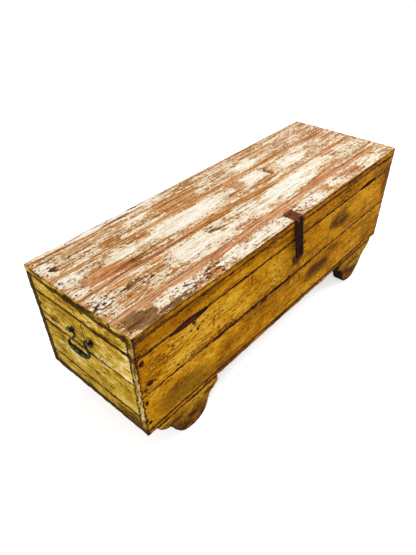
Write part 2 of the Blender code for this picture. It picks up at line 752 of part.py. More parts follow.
def build_handles():
    """On each end, two riveted posts with roves on the inside, and a bail that turns in the eyes
    of the posts."""
    half = bail_path()
    whole = [(-across, down, radius) for across, down, radius in half]
    whole += [(across, down, radius) for across, down, radius in reversed(half[:-1])]
    points = [(0, across, -down) for across, down, _ in whole]
    radii = [radius for _, _, radius in whole]
    for side, sign, carrier in (("left", -1, left_bail), ("right", 1, right_bail)):
        face = sign * HALF_LENGTH
        outwards = (0, sign * math.pi / 2, 0)
        z = TRUNK_HEIGHT - BAIL_DROP
        for place, across in (("front", -1), ("back", 1)):
            y = across * POST_SPREAD / 2
            post = turned(
                f"{side}_{place}_post", post_profile(), (face, y, z), case, "forged_iron", outwards
            )
            eye = rod_mesh(PINTLE_RADIUS + PIN_CLEARANCE, 4 * POST_BALL, 16)
            eye.transform(Matrix.Rotation(math.pi / 2, 4, "Z"))
            centre = (face + sign * BAIL_REACH, y, z)
            cut(post, as_cutter(object_of(eye), f"{side}_{place}_eye", centre, case))
            inner = POST_STEM + PIN_CLEARANCE
            seat = -(WALL_THICKNESS + SEAT_GAP)
            rove = [
                (ROVE_RADIUS, seat),
                (ROVE_RADIUS, seat - ROVE_THICKNESS),
                (inner, seat - ROVE_THICKNESS),
                (inner, seat),
            ]
            turned(f"{side}_{place}_rove", rove, (face, y, z), case, "forged_iron", outwards)
            hole = as_cutter(
                object_of(rod_mesh(POST_STEM + PIN_CLEARANCE, 4 * WALL_THICKNESS)),
                f"{side}_{place}_post_hole",
                (face, y, z),
                case,
            )
            cut(bpy.data.objects[f"{side}_end_board_upper"], hole)
        mesh = wire_mesh("bail", points, 4, radii=radii, smooth_steps=4)
        mesh.shade_smooth()
        at = (face + sign * BAIL_REACH, 0, z)
        finish_part(object_of(mesh), f"{side}_bail", at, carrier, "forged_iron")


clear_scene()
trunk = new_collection("trunk")
cutters = new_collection("cutters")
case = frame("case_frame", (0, 0, 0))
lid = frame("lid_hinge_axis", LID_AXIS, case)
hasp = frame("hasp_hinge_axis", HASP_AXIS, lid, (-HASP_SWING, 0, 0))
bail_height = TRUNK_HEIGHT - BAIL_DROP
left_bail = frame("left_bail_axis", (-HALF_LENGTH - BAIL_REACH, 0, bail_height), case, (0, BAIL_TILT, 0))
right_bail = frame("right_bail_axis", (HALF_LENGTH + BAIL_REACH, 0, bail_height), case, (0, -BAIL_TILT, 0))
build_case()
build_feet()
build_lid()
chip_front_edges()
build_hinges()
build_hasp()
build_staple()
build_handles()
case.location.y = (FRONT_REACH - BACK_REACH) / 2
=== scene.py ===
import json
from math import radians

import bpy
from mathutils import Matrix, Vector
from mathutils.kdtree import KDTree

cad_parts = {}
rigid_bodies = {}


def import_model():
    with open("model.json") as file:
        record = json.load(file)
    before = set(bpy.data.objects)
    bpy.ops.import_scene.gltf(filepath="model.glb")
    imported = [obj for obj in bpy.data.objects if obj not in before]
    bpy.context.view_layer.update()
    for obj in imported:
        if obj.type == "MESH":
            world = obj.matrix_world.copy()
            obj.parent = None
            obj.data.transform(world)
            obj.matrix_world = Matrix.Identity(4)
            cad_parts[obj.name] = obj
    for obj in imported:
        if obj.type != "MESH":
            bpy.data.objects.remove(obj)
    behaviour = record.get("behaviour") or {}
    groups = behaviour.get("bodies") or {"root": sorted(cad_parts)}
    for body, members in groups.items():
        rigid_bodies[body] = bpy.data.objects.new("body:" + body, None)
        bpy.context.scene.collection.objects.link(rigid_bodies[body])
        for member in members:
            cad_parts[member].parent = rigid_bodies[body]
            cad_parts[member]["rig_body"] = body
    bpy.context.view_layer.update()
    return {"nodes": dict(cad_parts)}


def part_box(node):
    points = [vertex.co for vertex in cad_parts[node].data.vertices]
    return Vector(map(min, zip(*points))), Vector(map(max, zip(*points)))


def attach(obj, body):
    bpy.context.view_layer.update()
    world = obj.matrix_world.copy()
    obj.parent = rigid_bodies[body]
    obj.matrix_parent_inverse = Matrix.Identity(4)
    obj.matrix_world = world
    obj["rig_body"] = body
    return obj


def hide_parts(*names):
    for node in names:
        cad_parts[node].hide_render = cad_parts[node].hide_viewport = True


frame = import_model()


# Paper, lamps, camera.
# A roll of white paper lies under the trunk. A broad soft lamp hangs high on the
# right, a weaker one stands on the left, and pale walls send light back from all round.

def tint(text):
    """An sRGB hex colour as the linear colour that a shader takes."""
    parts = [int(text[i:i + 2], 16) / 255 for i in (1, 3, 5)]
    return (*(p / 12.92 if p <= 0.04045 else ((p + 0.055) / 1.055) ** 2.4
              for p in parts), 1.0)


def add(tree, kind, links=None, stops=None, **settings):
    """Adds a node, sets it, links or fills its sockets, and gives its first output."""
    node = tree.nodes.new("ShaderNode" + kind)
    for name, value in settings.items():
        setattr(node, name, value)
    if stops:
        ramp = node.color_ramp
        while len(ramp.elements) < len(stops):
            ramp.elements.new(1.0)
        for element, (position, colour) in zip(ramp.elements, stops):
            element.position = position
            element.color = tint(colour) if isinstance(colour, str) else (colour,) * 3 + (1,)
    for name, value in (links or {}).items():
        if isinstance(value, bpy.types.NodeSocket):
            tree.links.new(value, node.inputs[name])
        else:
            node.inputs[name].default_value = value
    return node.outputs[0]


def blank(name):
    """A new material with an empty node tree and its output node."""
    material = bpy.data.materials.new(name)
    material.use_nodes = True
    material.node_tree.nodes.clear()
    return material, material.node_tree, material.node_tree.nodes.new(
        "ShaderNodeOutputMaterial")


PAPER_SIZE = 24.0
PAPER_WHITE = "#F2F2F2"
PAPER_GLOW = 0.46
ROOM_LIGHT = 0.56
LAMPS = (
    # name, place, side, power in watts
    ("high_right_lamp", (2.6, -1.2, 3.4), 2.4, 116),
    ("left_lamp", (-3.4, -1.6, 2.2), 2.0, 66),
)
LAMPS_AIM = Vector((0, 0, 0.3))

# Worked out from the photo's straight edges, in metres, degrees, mm and image widths.
CAMERA_PLACE = (-1.04617, -0.80805, 1.21716)
CAMERA_TURN = (48.3891, 1.3745, -48.1640)
FOCAL_LENGTH, SENSOR_WIDTH = 30.656, 36.0
SHIFT = (0.0059, 0.0525)

paper, tree, end = blank("matt_white_paper")      # lies flat, and keeps the shadow
seen = add(tree, "LightPath")
glow = add(tree, "Emission", {"Color": tint("#FFFFFF"), "Strength": PAPER_GLOW})
sheet = add(tree, "BsdfDiffuse", {"Color": tint(PAPER_WHITE), "Roughness": 0.9})
both = add(tree, "AddShader", {0: sheet, 1: glow})
tree.links.new(add(tree, "MixShader", {"Fac": seen, 1: sheet, 2: both}),
               end.inputs["Surface"])

bpy.ops.object.select_all(action="DESELECT")
bpy.ops.mesh.primitive_plane_add(size=PAPER_SIZE, location=(0, 0, 0))
floor = bpy.context.object
floor.name = "paper_floor"
floor.data.materials.append(paper)

world = bpy.data.worlds.new("pale_room")
bpy.context.scene.world = world
world.use_nodes = True
tree = world.node_tree
tree.nodes.clear()
seen = add(tree, "LightPath")
glossy = seen.node.outputs["Is Glossy Ray"]
through = seen.node.outputs["Is Transmission Ray"]
white = add(tree, "Math", {0: seen, 1: glossy}, operation="MAXIMUM")
white = add(tree, "Math", {0: white, 1: through}, operation="MAXIMUM")
room = add(tree, "Background", {"Color": tint("#FFFBF4"), "Strength": ROOM_LIGHT})
backdrop = add(tree, "Background", {"Color": tint("#FFFFFF"), "Strength": 1.0})
tree.links.new(add(tree, "MixShader", {"Fac": white, 1: room, 2: backdrop}),
               tree.nodes.new("ShaderNodeOutputWorld").inputs["Surface"])

for name, place, side, power in LAMPS:
    light = bpy.data.lights.new(name, "AREA")
    light.shape, light.size, light.energy = "SQUARE", side, power
    lamp = bpy.data.objects.new(name, light)
    bpy.context.collection.objects.link(lamp)
    lamp.location = place
    lamp.rotation_euler = (LAMPS_AIM - Vector(place)).to_track_quat("-Z", "Y").to_euler()

lens = bpy.data.cameras.new("camera")
lens.lens, lens.sensor_width = FOCAL_LENGTH, SENSOR_WIDTH
lens.shift_x, lens.shift_y = SHIFT
camera = bpy.data.objects.new("camera", lens)
bpy.context.collection.objects.link(camera)
camera.location = CAMERA_PLACE
camera.rotation_euler = [radians(angle) for angle in CAMERA_TURN]
bpy.context.scene.camera = camera
bpy.context.scene.view_settings.view_transform = "Standard"


# Front boards.
# Two sawn planks, 21 mm thick, nailed over the ends of the case. They were painted in
# golden ochre long ago; arrises and seams are rubbed bare and stained dark purple-brown.

MM = 0.001
EASE = 1.0 * MM          # the arris that planing and handling took off
PITCH = 6 * MM           # how finely a board is cut up, to let its edges wear
WORN_BAND = 8 * MM       # how far wear reaches in from an arris
LUMP_SKIN = 1.0 * MM     # how finely the shape of a torn hollow is drawn
SLIVER = 0.004 * MM      # points closer than this are merged after a cut
SMOOTH_UNDER = radians(35)       # an edge flatter than this is shaded smooth
LOOKS_THAT_WAY = 0.35    # cosine past which a face counts as looking a given way

scuff = bpy.data.textures.new("scuff", "CLOUDS")
scuff.noise_scale, scuff.noise_depth = 30 * MM, 3
nibble = bpy.data.textures.new("nibble", "CLOUDS")
nibble.noise_scale, nibble.noise_depth = 7 * MM, 2


def apply(piece, kind, **settings):
    """Gives the active piece a modifier with these settings, and applies it."""
    change = piece.modifiers.new(kind.lower(), kind)
    for name, value in settings.items():
        setattr(change, name, value)
    bpy.ops.object.modifier_apply(modifier=change.name)


def select_edges(piece, wanted):
    """Leaves only the edges that pass the test selected, in edit mode."""
    bpy.ops.object.mode_set(mode="EDIT")
    bpy.ops.mesh.select_mode(type="EDGE")
    bpy.ops.mesh.select_all(action="DESELECT")
    bpy.ops.object.mode_set(mode="OBJECT")
    points = piece.data.vertices
    for edge in piece.data.edges:
        edge.select = wanted(*(points[i].co for i in edge.vertices))
    bpy.ops.object.mode_set(mode="EDIT")


def select_faces(piece, wanted):
    """Leaves only the faces that pass the test selected, in edit mode."""
    bpy.ops.object.mode_set(mode="EDIT")
    bpy.ops.mesh.select_mode(type="FACE")
    bpy.ops.mesh.select_all(action="DESELECT")
    bpy.ops.object.mode_set(mode="OBJECT")
    for face in piece.data.polygons:
        face.select = wanted(face.center, face.normal)
    bpy.ops.object.mode_set(mode="EDIT")


def rub(piece, near_edge, low, high, depth, crumble):
    """Rubs the arrises down unevenly, and marks them for the paint to wear off."""
    bpy.ops.object.mode_set(mode="OBJECT")
    group = piece.vertex_groups.new(name="arris")
    nearness = [near_edge(point) for point in piece.data.vertices]
    for number, near in enumerate(nearness):
        group.add([number], near, "REPLACE")
    for texture, amount in ((scuff, depth), (nibble, crumble)):
        apply(piece, "DISPLACE", texture=texture, texture_coords="LOCAL",
              vertex_group="arris", mid_level=0.62, strength=amount)
    for point in piece.data.vertices:
        point.co = [min(max(c, l), h) for c, l, h in zip(point.co, low, high)]
    worn = piece.data.attributes.new("worn", "FLOAT", "POINT")
    worn.data.foreach_set("value", nearness)
    bpy.ops.object.shade_smooth_by_angle(angle=SMOOTH_UNDER)


def plank(node, pitch=PITCH):
    """A board of the CAD node's size with eased arrises, cut up to be worn."""
    low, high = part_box(node)
    bpy.ops.object.select_all(action="DESELECT")
    bpy.ops.mesh.primitive_cube_add(size=1, location=(low + high) / 2,
                                    scale=high - low)
    board = bpy.context.object
    board.name = node + "_plank"
    bpy.ops.object.transform_apply(location=True, rotation=True, scale=True)
    bpy.ops.object.mode_set(mode="EDIT")
    bpy.ops.mesh.select_all(action="SELECT")
    bpy.ops.mesh.bevel(offset=EASE, segments=2, affect="EDGES")
    for axis in range(3):
        side = high[axis] - low[axis]
        select_edges(board, lambda a, b: abs(a[axis] - b[axis]) > side / 2)
        bpy.ops.mesh.subdivide(number_cuts=max(1, round(side / pitch) - 1))
    return board


def fade(gap):
    """How worn a point is at this distance from an arris, from 1 down to 0."""
    return max(0.0, 1.0 - max(gap - EASE, 0) / WORN_BAND) ** 2


def wear(board, node, depth=4.0 * MM, crumble=3.0 * MM):
    """Wears a board along the arrises that it had when it was new."""
    low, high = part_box(node)

    def near_edge(point):
        gaps = sorted(min(point.co[i] - low[i], high[i] - point.co[i])
                      for i in range(3))
        return fade(gaps[1])

    rub(board, near_edge, low, high, depth, crumble)


def coat(piece, wood, *coats):
    """Gives a board its wood, and paints the faces that look each coat's ways."""
    piece.data.materials.append(wood)
    for number, (paint, *ways) in enumerate(coats, 1):
        piece.data.materials.append(paint)
        select_faces(piece, lambda centre, normal: any(
            normal.dot(Vector(way)) > LOOKS_THAT_WAY for way in ways))
        piece.active_material_index = number
        bpy.ops.object.material_slot_assign()
    bpy.ops.object.mode_set(mode="OBJECT")


def stand_for(piece, node, body, slot):
    """The piece takes its node's place, and moves as the node does."""
    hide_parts(node)
    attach(piece, body)


def blows(places, texture, roughness, name):
    """Ragged lumps that tear splinters out of the boards they touch."""
    bpy.ops.object.select_all(action="DESELECT")
    lumps = []
    for place, half in places:
        bpy.ops.mesh.primitive_uv_sphere_add(segments=64, ring_count=20, radius=1,
                                             location=place, scale=half)
        lumps.append(bpy.context.object)
    for lump in lumps:
        lump.select_set(True)
    bpy.ops.object.join()
    tool = bpy.context.object
    tool.name = name
    bpy.ops.object.transform_apply(location=True, rotation=True, scale=True)
    apply(tool, "DISPLACE", texture=texture, texture_coords="LOCAL", mid_level=0.5,
          strength=roughness)
    apply(tool, "REMESH", mode="VOXEL", voxel_size=LUMP_SKIN)
    tool.data.materials.append(split_wood)
    return tool


def tear(piece, tool):
    """Takes the tool's shape out of the piece and leaves raw wood there."""
    bpy.ops.object.select_all(action="DESELECT")
    bpy.context.view_layer.objects.active = piece
    piece.select_set(True)
    apply(piece, "BOOLEAN", operation="DIFFERENCE", solver="EXACT", object=tool,
          material_mode="TRANSFER")
    bpy.ops.object.mode_set(mode="EDIT")
    bpy.ops.mesh.select_all(action="SELECT")
    bpy.ops.mesh.remove_doubles(threshold=SLIVER)
    bpy.ops.mesh.quads_convert_to_tris()
    bpy.ops.object.mode_set(mode="OBJECT")


LEFT, FRONT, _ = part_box("front_board_upper")[0]
_, BACK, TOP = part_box("top_board_back")[1]
FRONT_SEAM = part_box("front_board_lower")[1].z
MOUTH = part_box("front_board_upper")[1].z         # where the lid meets the case
LENGTHWISE = Vector((1, 40, 40))     # grain is forty times finer across than along
ENDWISE = Vector((40, 1, 40))
UPRIGHT = Vector((40, 40, 2))
PAINT_SHINE, WOOD_SHINE, IRON_SHINE = 0.02, 0.08, 0.05
MARK_CORE = 2.2          # a mark fades only past 1 - 1 / this of its half size


def clouds(tree, place, rows):
    """Cloudy patterns. A row is how many lumps a metre it has along each axis, how many
    finer layers lie over them, and how strong these are."""
    patterns = []
    for per_metre, layers, roughness in rows:
        scaled = add(tree, "Mapping", {"Vector": place, "Scale": per_metre})
        patterns.append(add(tree, "TexNoise", {
            "Vector": scaled, "Scale": 1.0, "Detail": layers, "Roughness": roughness}))
    return patterns


def sway(tree, value, parts):
    """Adds to a value how far each part is from its mean, so many times over."""
    for part, weight in parts:
        apart = add(tree, "Math", {0: part, 1: 0.5}, operation="SUBTRACT")
        value = add(tree, "Math", {0: apart, 1: weight, 2: value},
                    operation="MULTIPLY_ADD")
    return value


def dress(tree, end, colour, rough, height, strength, depth, specular, metallic=0.0):
    """Joins colour, roughness and relief to the material's surface."""
    relief = add(tree, "Bump", {"Height": height, "Strength": strength, "Distance": depth})
    surface = add(tree, "BsdfPrincipled", {
        "Base Color": colour, "Metallic": metallic, "Roughness": rough,
        "Normal": relief, "Specular IOR Level": specular})
    tree.links.new(surface, end.inputs["Surface"])


def marks(tree, place, total, rows, start, steps, thick):
    """Adds listed soft oval marks to a value. A row is how far the mark is
    from the start corner along and across the board, its half sizes, all in mm,
    and how strong it is."""
    for along, across, half_along, half_across, strength in rows:
        centre = Vector(start) + (Vector(steps[0]) * along + Vector(steps[1]) * across) * MM
        half = (Vector(map(abs, steps[0])) * half_along
                + Vector(map(abs, steps[1])) * half_across) * MM + Vector(thick)
        oval = add(tree, "Mapping", {"Vector": place, "Location": centre,
                                     "Scale": half}, vector_type="TEXTURE")
        soft = add(tree, "TexGradient", {"Vector": oval}, gradient_type="SPHERICAL")
        flat = add(tree, "Math", {0: soft.node.outputs[1], 1: MARK_CORE},
                   operation="MULTIPLY", use_clamp=True)
        total = add(tree, "Math", {0: flat, 1: strength, 2: total},
                    operation="MULTIPLY_ADD")
    return total


def wander(tree, place, amount):
    """Shifts a place by cloudy noise, so that a mark's outline isn't a clean oval."""
    scaled = add(tree, "Mapping", {"Vector": place, "Scale": (11, 22, 22)})
    drift = add(tree, "TexNoise", {"Vector": scaled, "Scale": 1.0, "Detail": 5.0,
                                   "Roughness": 0.6}).node.outputs["Color"]
    moved = add(tree, "VectorMath", {0: drift, 1: amount, 2: place},
                operation="MULTIPLY_ADD")
    return add(tree, "VectorMath", {0: moved, 1: [a / 2 for a in amount]},
               operation="SUBTRACT")


def painted(name, grain, tones, bare_tones, shades, marks_light, marks_bare, corner,
            steps, thick, slope=0.0, flecks=1.0, mottled=1.7, edge=0.70, mossy=()):
    """Old oil paint on a plank: cloudy and streaked in tone, flecked, rubbed through to
    stained wood on the arrises, with listed marks that make it lighter or darker, and bare marks."""
    material, tree, end = blank(name)
    place = add(tree, "TexCoord").node.outputs["Object"]
    parts = add(tree, "SeparateXYZ", {0: place}).node
    loose = wander(tree, place, (0.110, 0.045, 0.045))
    close = wander(tree, place, (0.016, 0.008, 0.008))

    wide, mottle, streak, brush, grit, fleck = clouds(tree, place, (
        ((3.5, 6, 6), 3.0, 0.5),                             # 290 by 170 mm, fading
        (grain * 0.3 + Vector((10, 10, 10)), 7.0, 0.68),     # 97 by 45 mm, dirt
        (grain * 4.2, 4.0, 0.6),                             # 240 by 6 mm, wood grain
        (grain * 6 + Vector((60, 60, 60)), 3.0, 0.6),        # 15 by 3.3 mm, brush hairs
        (grain + Vector((130, 130, 130)), 2.0, 0.7),         # 8 by 6 mm, grit
        (grain * 2.5 + Vector((60, 60, 60)), 3.0, 0.62),     # 16 by 6 mm, lost flecks
    ))

    # each board has a shade of its own, found by twice its height in metres
    tone = add(tree, "ValToRGB", {0: add(tree, "Math", {
        0: parts.outputs[2], 1: 2.0}, operation="MULTIPLY")}, stops=shades)
    tone.node.color_ramp.interpolation = "CONSTANT"
    tone = add(tree, "Math", {0: parts.outputs[0], 1: slope, 2: tone},
               operation="MULTIPLY_ADD")
    tone = sway(tree, tone, ((wide, 0.5), (mottle, mottled), (streak, 1.2), (brush, 1.1),
                             (grit, 0.9)))
    broken = add(tree, "Math", {0: mottle, 1: streak}, operation="ADD")
    broken = add(tree, "Math", {0: broken, 1: brush}, operation="ADD")
    broken = add(tree, "MapRange", {"Value": broken, "From Min": 1.36, "From Max": 1.66,
                                    "To Min": 0.1, "To Max": 1.9})
    stain = marks(tree, loose, 0.0, marks_light, corner, steps, thick)
    tone = add(tree, "Math", {0: stain, 1: broken, 2: tone}, operation="MULTIPLY_ADD")
    skin = add(tree, "ValToRGB", {0: tone}, stops=tones)
    if mossy:
        damp = marks(tree, loose, wide, mossy, corner, steps, thick)
        damp = add(tree, "Math", {0: mottle, 1: 1.2, 2: damp}, operation="MULTIPLY_ADD")
        damp = add(tree, "MapRange", {"Value": damp, "From Min": 1.14, "From Max": 1.90,
                                      "To Max": 0.8})
        moss = add(tree, "ValToRGB", {0: tone}, stops=MOSSY_TONES)
        skin = add(tree, "Mix", {"Factor": damp, 6: skin, 7: moss},
                   data_type="RGBA").node.outputs[2]

    worn = add(tree, "Attribute", attribute_name="worn").node.outputs["Fac"]
    rubbed = add(tree, "Math", {0: worn, 1: 2.0}, operation="POWER")
    rubbed = add(tree, "Math", {0: rubbed, 1: edge}, operation="MULTIPLY")
    rubbed = sway(tree, rubbed, ((fleck, 1.7 * flecks), (grit, 1.3 * flecks), (wide, 0.6),
                                 (streak, 0.7)))
    rubbed = marks(tree, close, rubbed, marks_bare, corner, steps, thick)
    bare = add(tree, "MapRange", {"Value": rubbed, "From Min": 0.36, "From Max": 0.42},
               interpolation_type="SMOOTHSTEP")
    grime = add(tree, "MapRange", {"Value": rubbed, "From Min": 0.06, "From Max": 0.42})
    grime = add(tree, "Math", {0: grime, 1: 0.6}, operation="MULTIPLY")

    stained = add(tree, "ValToRGB", {0: streak}, stops=bare_tones)
    dirty = add(tree, "Mix", {"Factor": grime, 6: skin, 7: tint("#5E3408")},
                data_type="RGBA").node.outputs[2]
    colour = add(tree, "Mix", {"Factor": bare, 6: dirty, 7: stained},
                 data_type="RGBA").node.outputs[2]
    gloss = add(tree, "MapRange", {"Value": bare, "To Min": 0.48, "To Max": 0.80})
    gloss = add(tree, "Math", {0: brush, 1: 0.25, 2: gloss}, operation="MULTIPLY_ADD")
    height = add(tree, "Math", {0: streak, 1: 0.8, 2: brush}, operation="MULTIPLY_ADD")
    height = add(tree, "Math", {0: bare, 1: -0.6, 2: height}, operation="MULTIPLY_ADD")
    dress(tree, end, colour, gloss, height, strength=0.9, depth=1.0 * MM,
          specular=PAINT_SHINE)
    return material


def raw(name, grain, tones):
    """Unpainted wood: long grain streaks, darker rings and blotches, a dry surface."""
    material, tree, end = blank(name)
    place = add(tree, "TexCoord").node.outputs["Object"]
    streak, cloud, pores = clouds(tree, place, (
        (grain * 4.5, 6.0, 0.66),                            # 220 by 6 mm, year rings
        (grain * 0.35 + Vector((4, 4, 4)), 6.0, 0.66),       # 230 by 56 mm, blotches
        (grain * 14 + Vector((30, 30, 30)), 2.0, 0.5),       # 23 by 1.7 mm, pores
    ))
    tone = add(tree, "Math", {0: pores, 1: 0.7, 2: -1.4}, operation="MULTIPLY_ADD")
    tone = add(tree, "Math", {0: streak, 1: 1.6, 2: tone}, operation="MULTIPLY_ADD")
    tone = add(tree, "Math", {0: cloud, 1: 1.5, 2: tone}, operation="MULTIPLY_ADD")
    colour = add(tree, "ValToRGB", {0: tone}, stops=tones)
    height = add(tree, "Math", {0: streak, 1: 0.9, 2: pores}, operation="MULTIPLY_ADD")
    dress(tree, end, colour, 0.82, height, strength=0.8, depth=0.8 * MM,
          specular=WOOD_SHINE)
    return material


# Old softwood gone brown inside the case; torn wood in the chips is nearly black.
AGED_TONES = ((0.05, "#3A2717"), (0.35, "#73512F"), (0.60, "#906B45"), (0.95, "#B4916A"))
bare_wood = raw("aged_bare_wood", LENGTHWISE, AGED_TONES)
bare_end_wood = raw("aged_bare_wood_across", ENDWISE, AGED_TONES)
split_wood = raw("split_stained_wood", LENGTHWISE, (
    (0.10, "#120504"), (0.45, "#280D09"), (0.70, "#3E1A0F"), (0.95, "#5E321A")))

# Where damp has crept up, the ochre has gone olive. As in every list of marks, a row
# gives mm from the left end and down from the top, two half sizes and a strength.
MOSSY_TONES = ((0.00, "#33290A"), (0.25, "#6A5208"), (0.50, "#93730C"), (0.75, "#B08F1C"),
               (1.00, "#D0B044"))
FRONT_MOSSY = (
    (160, 298, 140, 46, 0.46), (60, 340, 70, 30, 0.30), (300, 330, 90, 22, 0.30),
    (930, 130, 60, 34, 0.30), (800, 270, 70, 34, 0.30), (1200, 320, 60, 30, 0.25),
)

# Golden ochre oil paint, brushed on along the planks and waxed by hands since:
# deep and cloudy, brighter to the left, dirty along the seams and rust-stained under the
# hasp, with painted shade on the board seen through the hasp strap's slot.
FRONT_LIGHT = (
    (18, 38, 44, 34, -0.18), (30, 68, 40, 10, -0.20), (240, 150, 230, 70, 0.32),
    (60, 190, 60, 60, 0.10), (330, 240, 180, 40, 0.14), (140, 300, 120, 48, -0.24),
    (250, 325, 110, 26, -0.16), (90, 50, 110, 14, -0.14), (914, 130, 80, 40, -0.38),
    (960, 150, 50, 22, -0.14), (800, 268, 96, 46, -0.40), (760, 282, 40, 20, -0.18),
    (700, 215, 70, 14, -0.18), (900, 230, 60, 13, -0.30), (651, 152, 30, 30, -0.95),
    # (668, 124) here and among the bare marks is painted shade, seen through the hasp strap's slot
    (668, 124, 18, 22, -1.0), (640, 196, 46, 12, -0.14), (1010, 92, 90, 12, -0.14),
    (1090, 150, 110, 50, 0.10), (1010, 300, 120, 40, 0.10), (1245, 130, 26, 70, -0.29),
    (430, 228, 150, 10, -0.16), (280, 35, 220, 9, -0.22), (680, 320, 90, 26, 0.08),
    (1160, 320, 60, 30, -0.12), (540, 130, 70, 50, 0.06), (1180, 55, 80, 14, -0.18),
    (480, 300, 26, 40, -0.12), (420, 272, 9, 34, -0.30), (385, 330, 160, 14, -0.15),
    (1110, 235, 120, 14, -0.18),
)
FRONT_BARE = (
    (635, 2, 650, 5, 0.42), (470, 71, 500, 3, 0.26), (735, 216, 24, 7, 0.40),
    (35, 178, 22, 8, 0.40), (14, 92, 9, 11, 0.70), (14, 236, 8, 10, 0.60), (14, 318, 8, 10, 0.60),
    (12, 64, 7, 8, 0.55), (16, 190, 9, 9, 0.55), (428, 102, 2.6, 26, 0.80), (698, 108, 11, 6, 0.55),
    (420, 212, 190, 7, 0.24), (226, 209, 24, 6, 0.50), (285, 213, 32, 6, 0.50),
    (358, 210, 38, 7, 0.50), (496, 217, 24, 7, 0.42), (450, 222, 130, 3, 0.40),
    (70, 220, 60, 3, 0.34), (180, 190, 120, 11, 0.22), (330, 196, 80, 8, 0.24),
    (28, 172, 12, 7, 0.60), (620, 212, 130, 7, 0.26), (240, 206, 120, 6, 0.22),
    (190, 110, 90, 8, 0.10), (205, 122, 5, 9, 0.50), (885, 128, 40, 18, 0.24),
    (940, 146, 26, 6, 0.24), (780, 262, 44, 16, 0.26), (815, 280, 30, 10, 0.24),
    (654, 150, 26, 28, 0.26), (640, 160, 5, 22, 0.30), (660, 165, 4, 18, 0.28),
    # (668, 124) is painted shade: dark bare wood seen through the hasp strap's slot
    (668, 124, 14, 20, 0.50), (640, 100, 10, 30, 0.14), (1255, 110, 12, 50, 0.34),
    (1258, 205, 8, 12, 0.48), (1256, 300, 8, 12, 0.45), (160, 21, 160, 4, 0.34),
    (250, 22, 44, 6, 0.55), (414, 22, 38, 6, 0.55), (595, 22, 24, 5, 0.40), (268, 138, 6, 24, 0.34),
    (196, 90, 12, 8, 0.50), (300, 122, 40, 34, 0.18), (210, 172, 60, 12, 0.18),
    (60, 130, 50, 34, 0.14), (150, 128, 120, 34, 0.05), (500, 200, 460, 20, 0.07),
    (1000, 196, 260, 12, 0.06), (120, 250, 80, 30, 0.10), (60, 170, 60, 40, 0.10),
    (600, 225, 90, 20, 0.10), (1180, 80, 60, 8, 0.26), (1200, 30, 60, 8, 0.25),
    (900, 62, 120, 6, 0.15), (520, 200, 60, 20, 0.10), (285, 170, 8, 26, 0.22),
    (635, 348, 640, 4, 0.22), (700, 250, 60, 20, 0.10), (1110, 205, 10, 6, 0.40),
)
ochre = painted(
    "ochre_oil_paint", LENGTHWISE,
    ((0.00, "#402406"), (0.18, "#744600"), (0.36, "#9A6200"), (0.52, "#B57800"),
     (0.68, "#C68B06"), (0.84, "#D0981A"), (1.00, "#DAA936")),
    ((0.25, "#1A0806"), (0.50, "#38140C"), (0.75, "#603418")),
    ((0.0, 0.36), (0.262, 0.30), (0.302, 0.50), (0.5806, 0.56), (0.852, 0.48),
     (0.952, 0.42)),
    FRONT_LIGHT, FRONT_BARE, (LEFT, FRONT, TOP), ((1, 0, 0), (0, 0, -1)), (0, 0.03, 0),
    slope=-0.07, mossy=FRONT_MOSSY)

# Where splinters are torn out: the middle and the half sizes, in metres. The two long
# ones are where the lid is prised up, the others are along the seams.
CHIPS = (
    ((-0.455, FRONT, MOUTH - 0.0015), (0.070, 0.009, 0.0120)),
    ((0.458, FRONT, MOUTH + 0.0015), (0.060, 0.009, 0.0082)),
)
SEAM_CHIPS = (
    ((-0.515, FRONT, FRONT_SEAM), (0.024, 0.004, 0.0030)),
    ((-0.330, FRONT, FRONT_SEAM - 0.001), (0.040, 0.004, 0.0036)),
    ((-0.205, FRONT, FRONT_SEAM), (0.030, 0.004, 0.0030)),
    ((-0.060, FRONT, FRONT_SEAM - 0.001), (0.045, 0.004, 0.0034)),
    ((0.240, FRONT, FRONT_SEAM), (0.030, 0.003, 0.0026)),
    ((-0.250, FRONT, MOUTH), (0.050, 0.004, 0.0030)),
    ((0.150, FRONT, MOUTH), (0.045, 0.003, 0.0026)),
)
chips = blows(CHIPS, scuff, 4 * MM, "chips")
seam_chips = blows(SEAM_CHIPS, nibble, 2 * MM, "seam_chips")

# The sawn ends are pale, cracked and dirty. Marks on them, as on all that faces left, go
# forward from the back and down from the top, and reach 0.3 m into the trunk.
LEFT_FACE = (LEFT, BACK, TOP), ((0, -1, 0), (0, 0, -1)), (0.3, 0, 0)
PURPLE_BARE = ((0.25, "#120705"), (0.50, "#2A130B"), (0.75, "#583418"))
ENDS_DIRT = (
    (411, 28, 16, 26, -0.45), (411, 72, 16, 16, -0.50), (411, 104, 16, 16, -0.24),
    (411, 180, 16, 60, 0.10), (411, 330, 16, 26, -0.30),
)
pale_ends = painted(
    "thin_paint_on_end_grain", UPRIGHT,
    ((0.00, "#3E280A"), (0.25, "#745618"), (0.50, "#A2853C"), (0.75, "#C2A65C"),
     (1.00, "#E4CC92")),
    PURPLE_BARE, ((0.0, 0.68), (0.5, 0.62)), ENDS_DIRT, (), *LEFT_FACE, flecks=1.6,
    mottled=2.6, edge=0.42)

TOWARDS_FRONT, TOWARDS_LEFT, TOWARDS_RIGHT = (0, -1, 0), (-1, 0, 0), (1, 0, 0)
BOTH_ENDS = (TOWARDS_LEFT, TOWARDS_RIGHT)

for node in ("front_board_upper", "front_board_lower"):
    board = plank(node)
    coat(board, bare_wood, (ochre, TOWARDS_FRONT), (pale_ends, *BOTH_ENDS))
    if node == "front_board_upper":
        tear(board, chips)
    tear(board, seam_chips)
    wear(board, node)
    stand_for(board, node, "chest", "ochre_paint")


# End boards.
# Three planks close each end, between the front and back boards. Their paint is the
# same ochre, weathered paler; the long boards' sawn ends show beside them as strips.

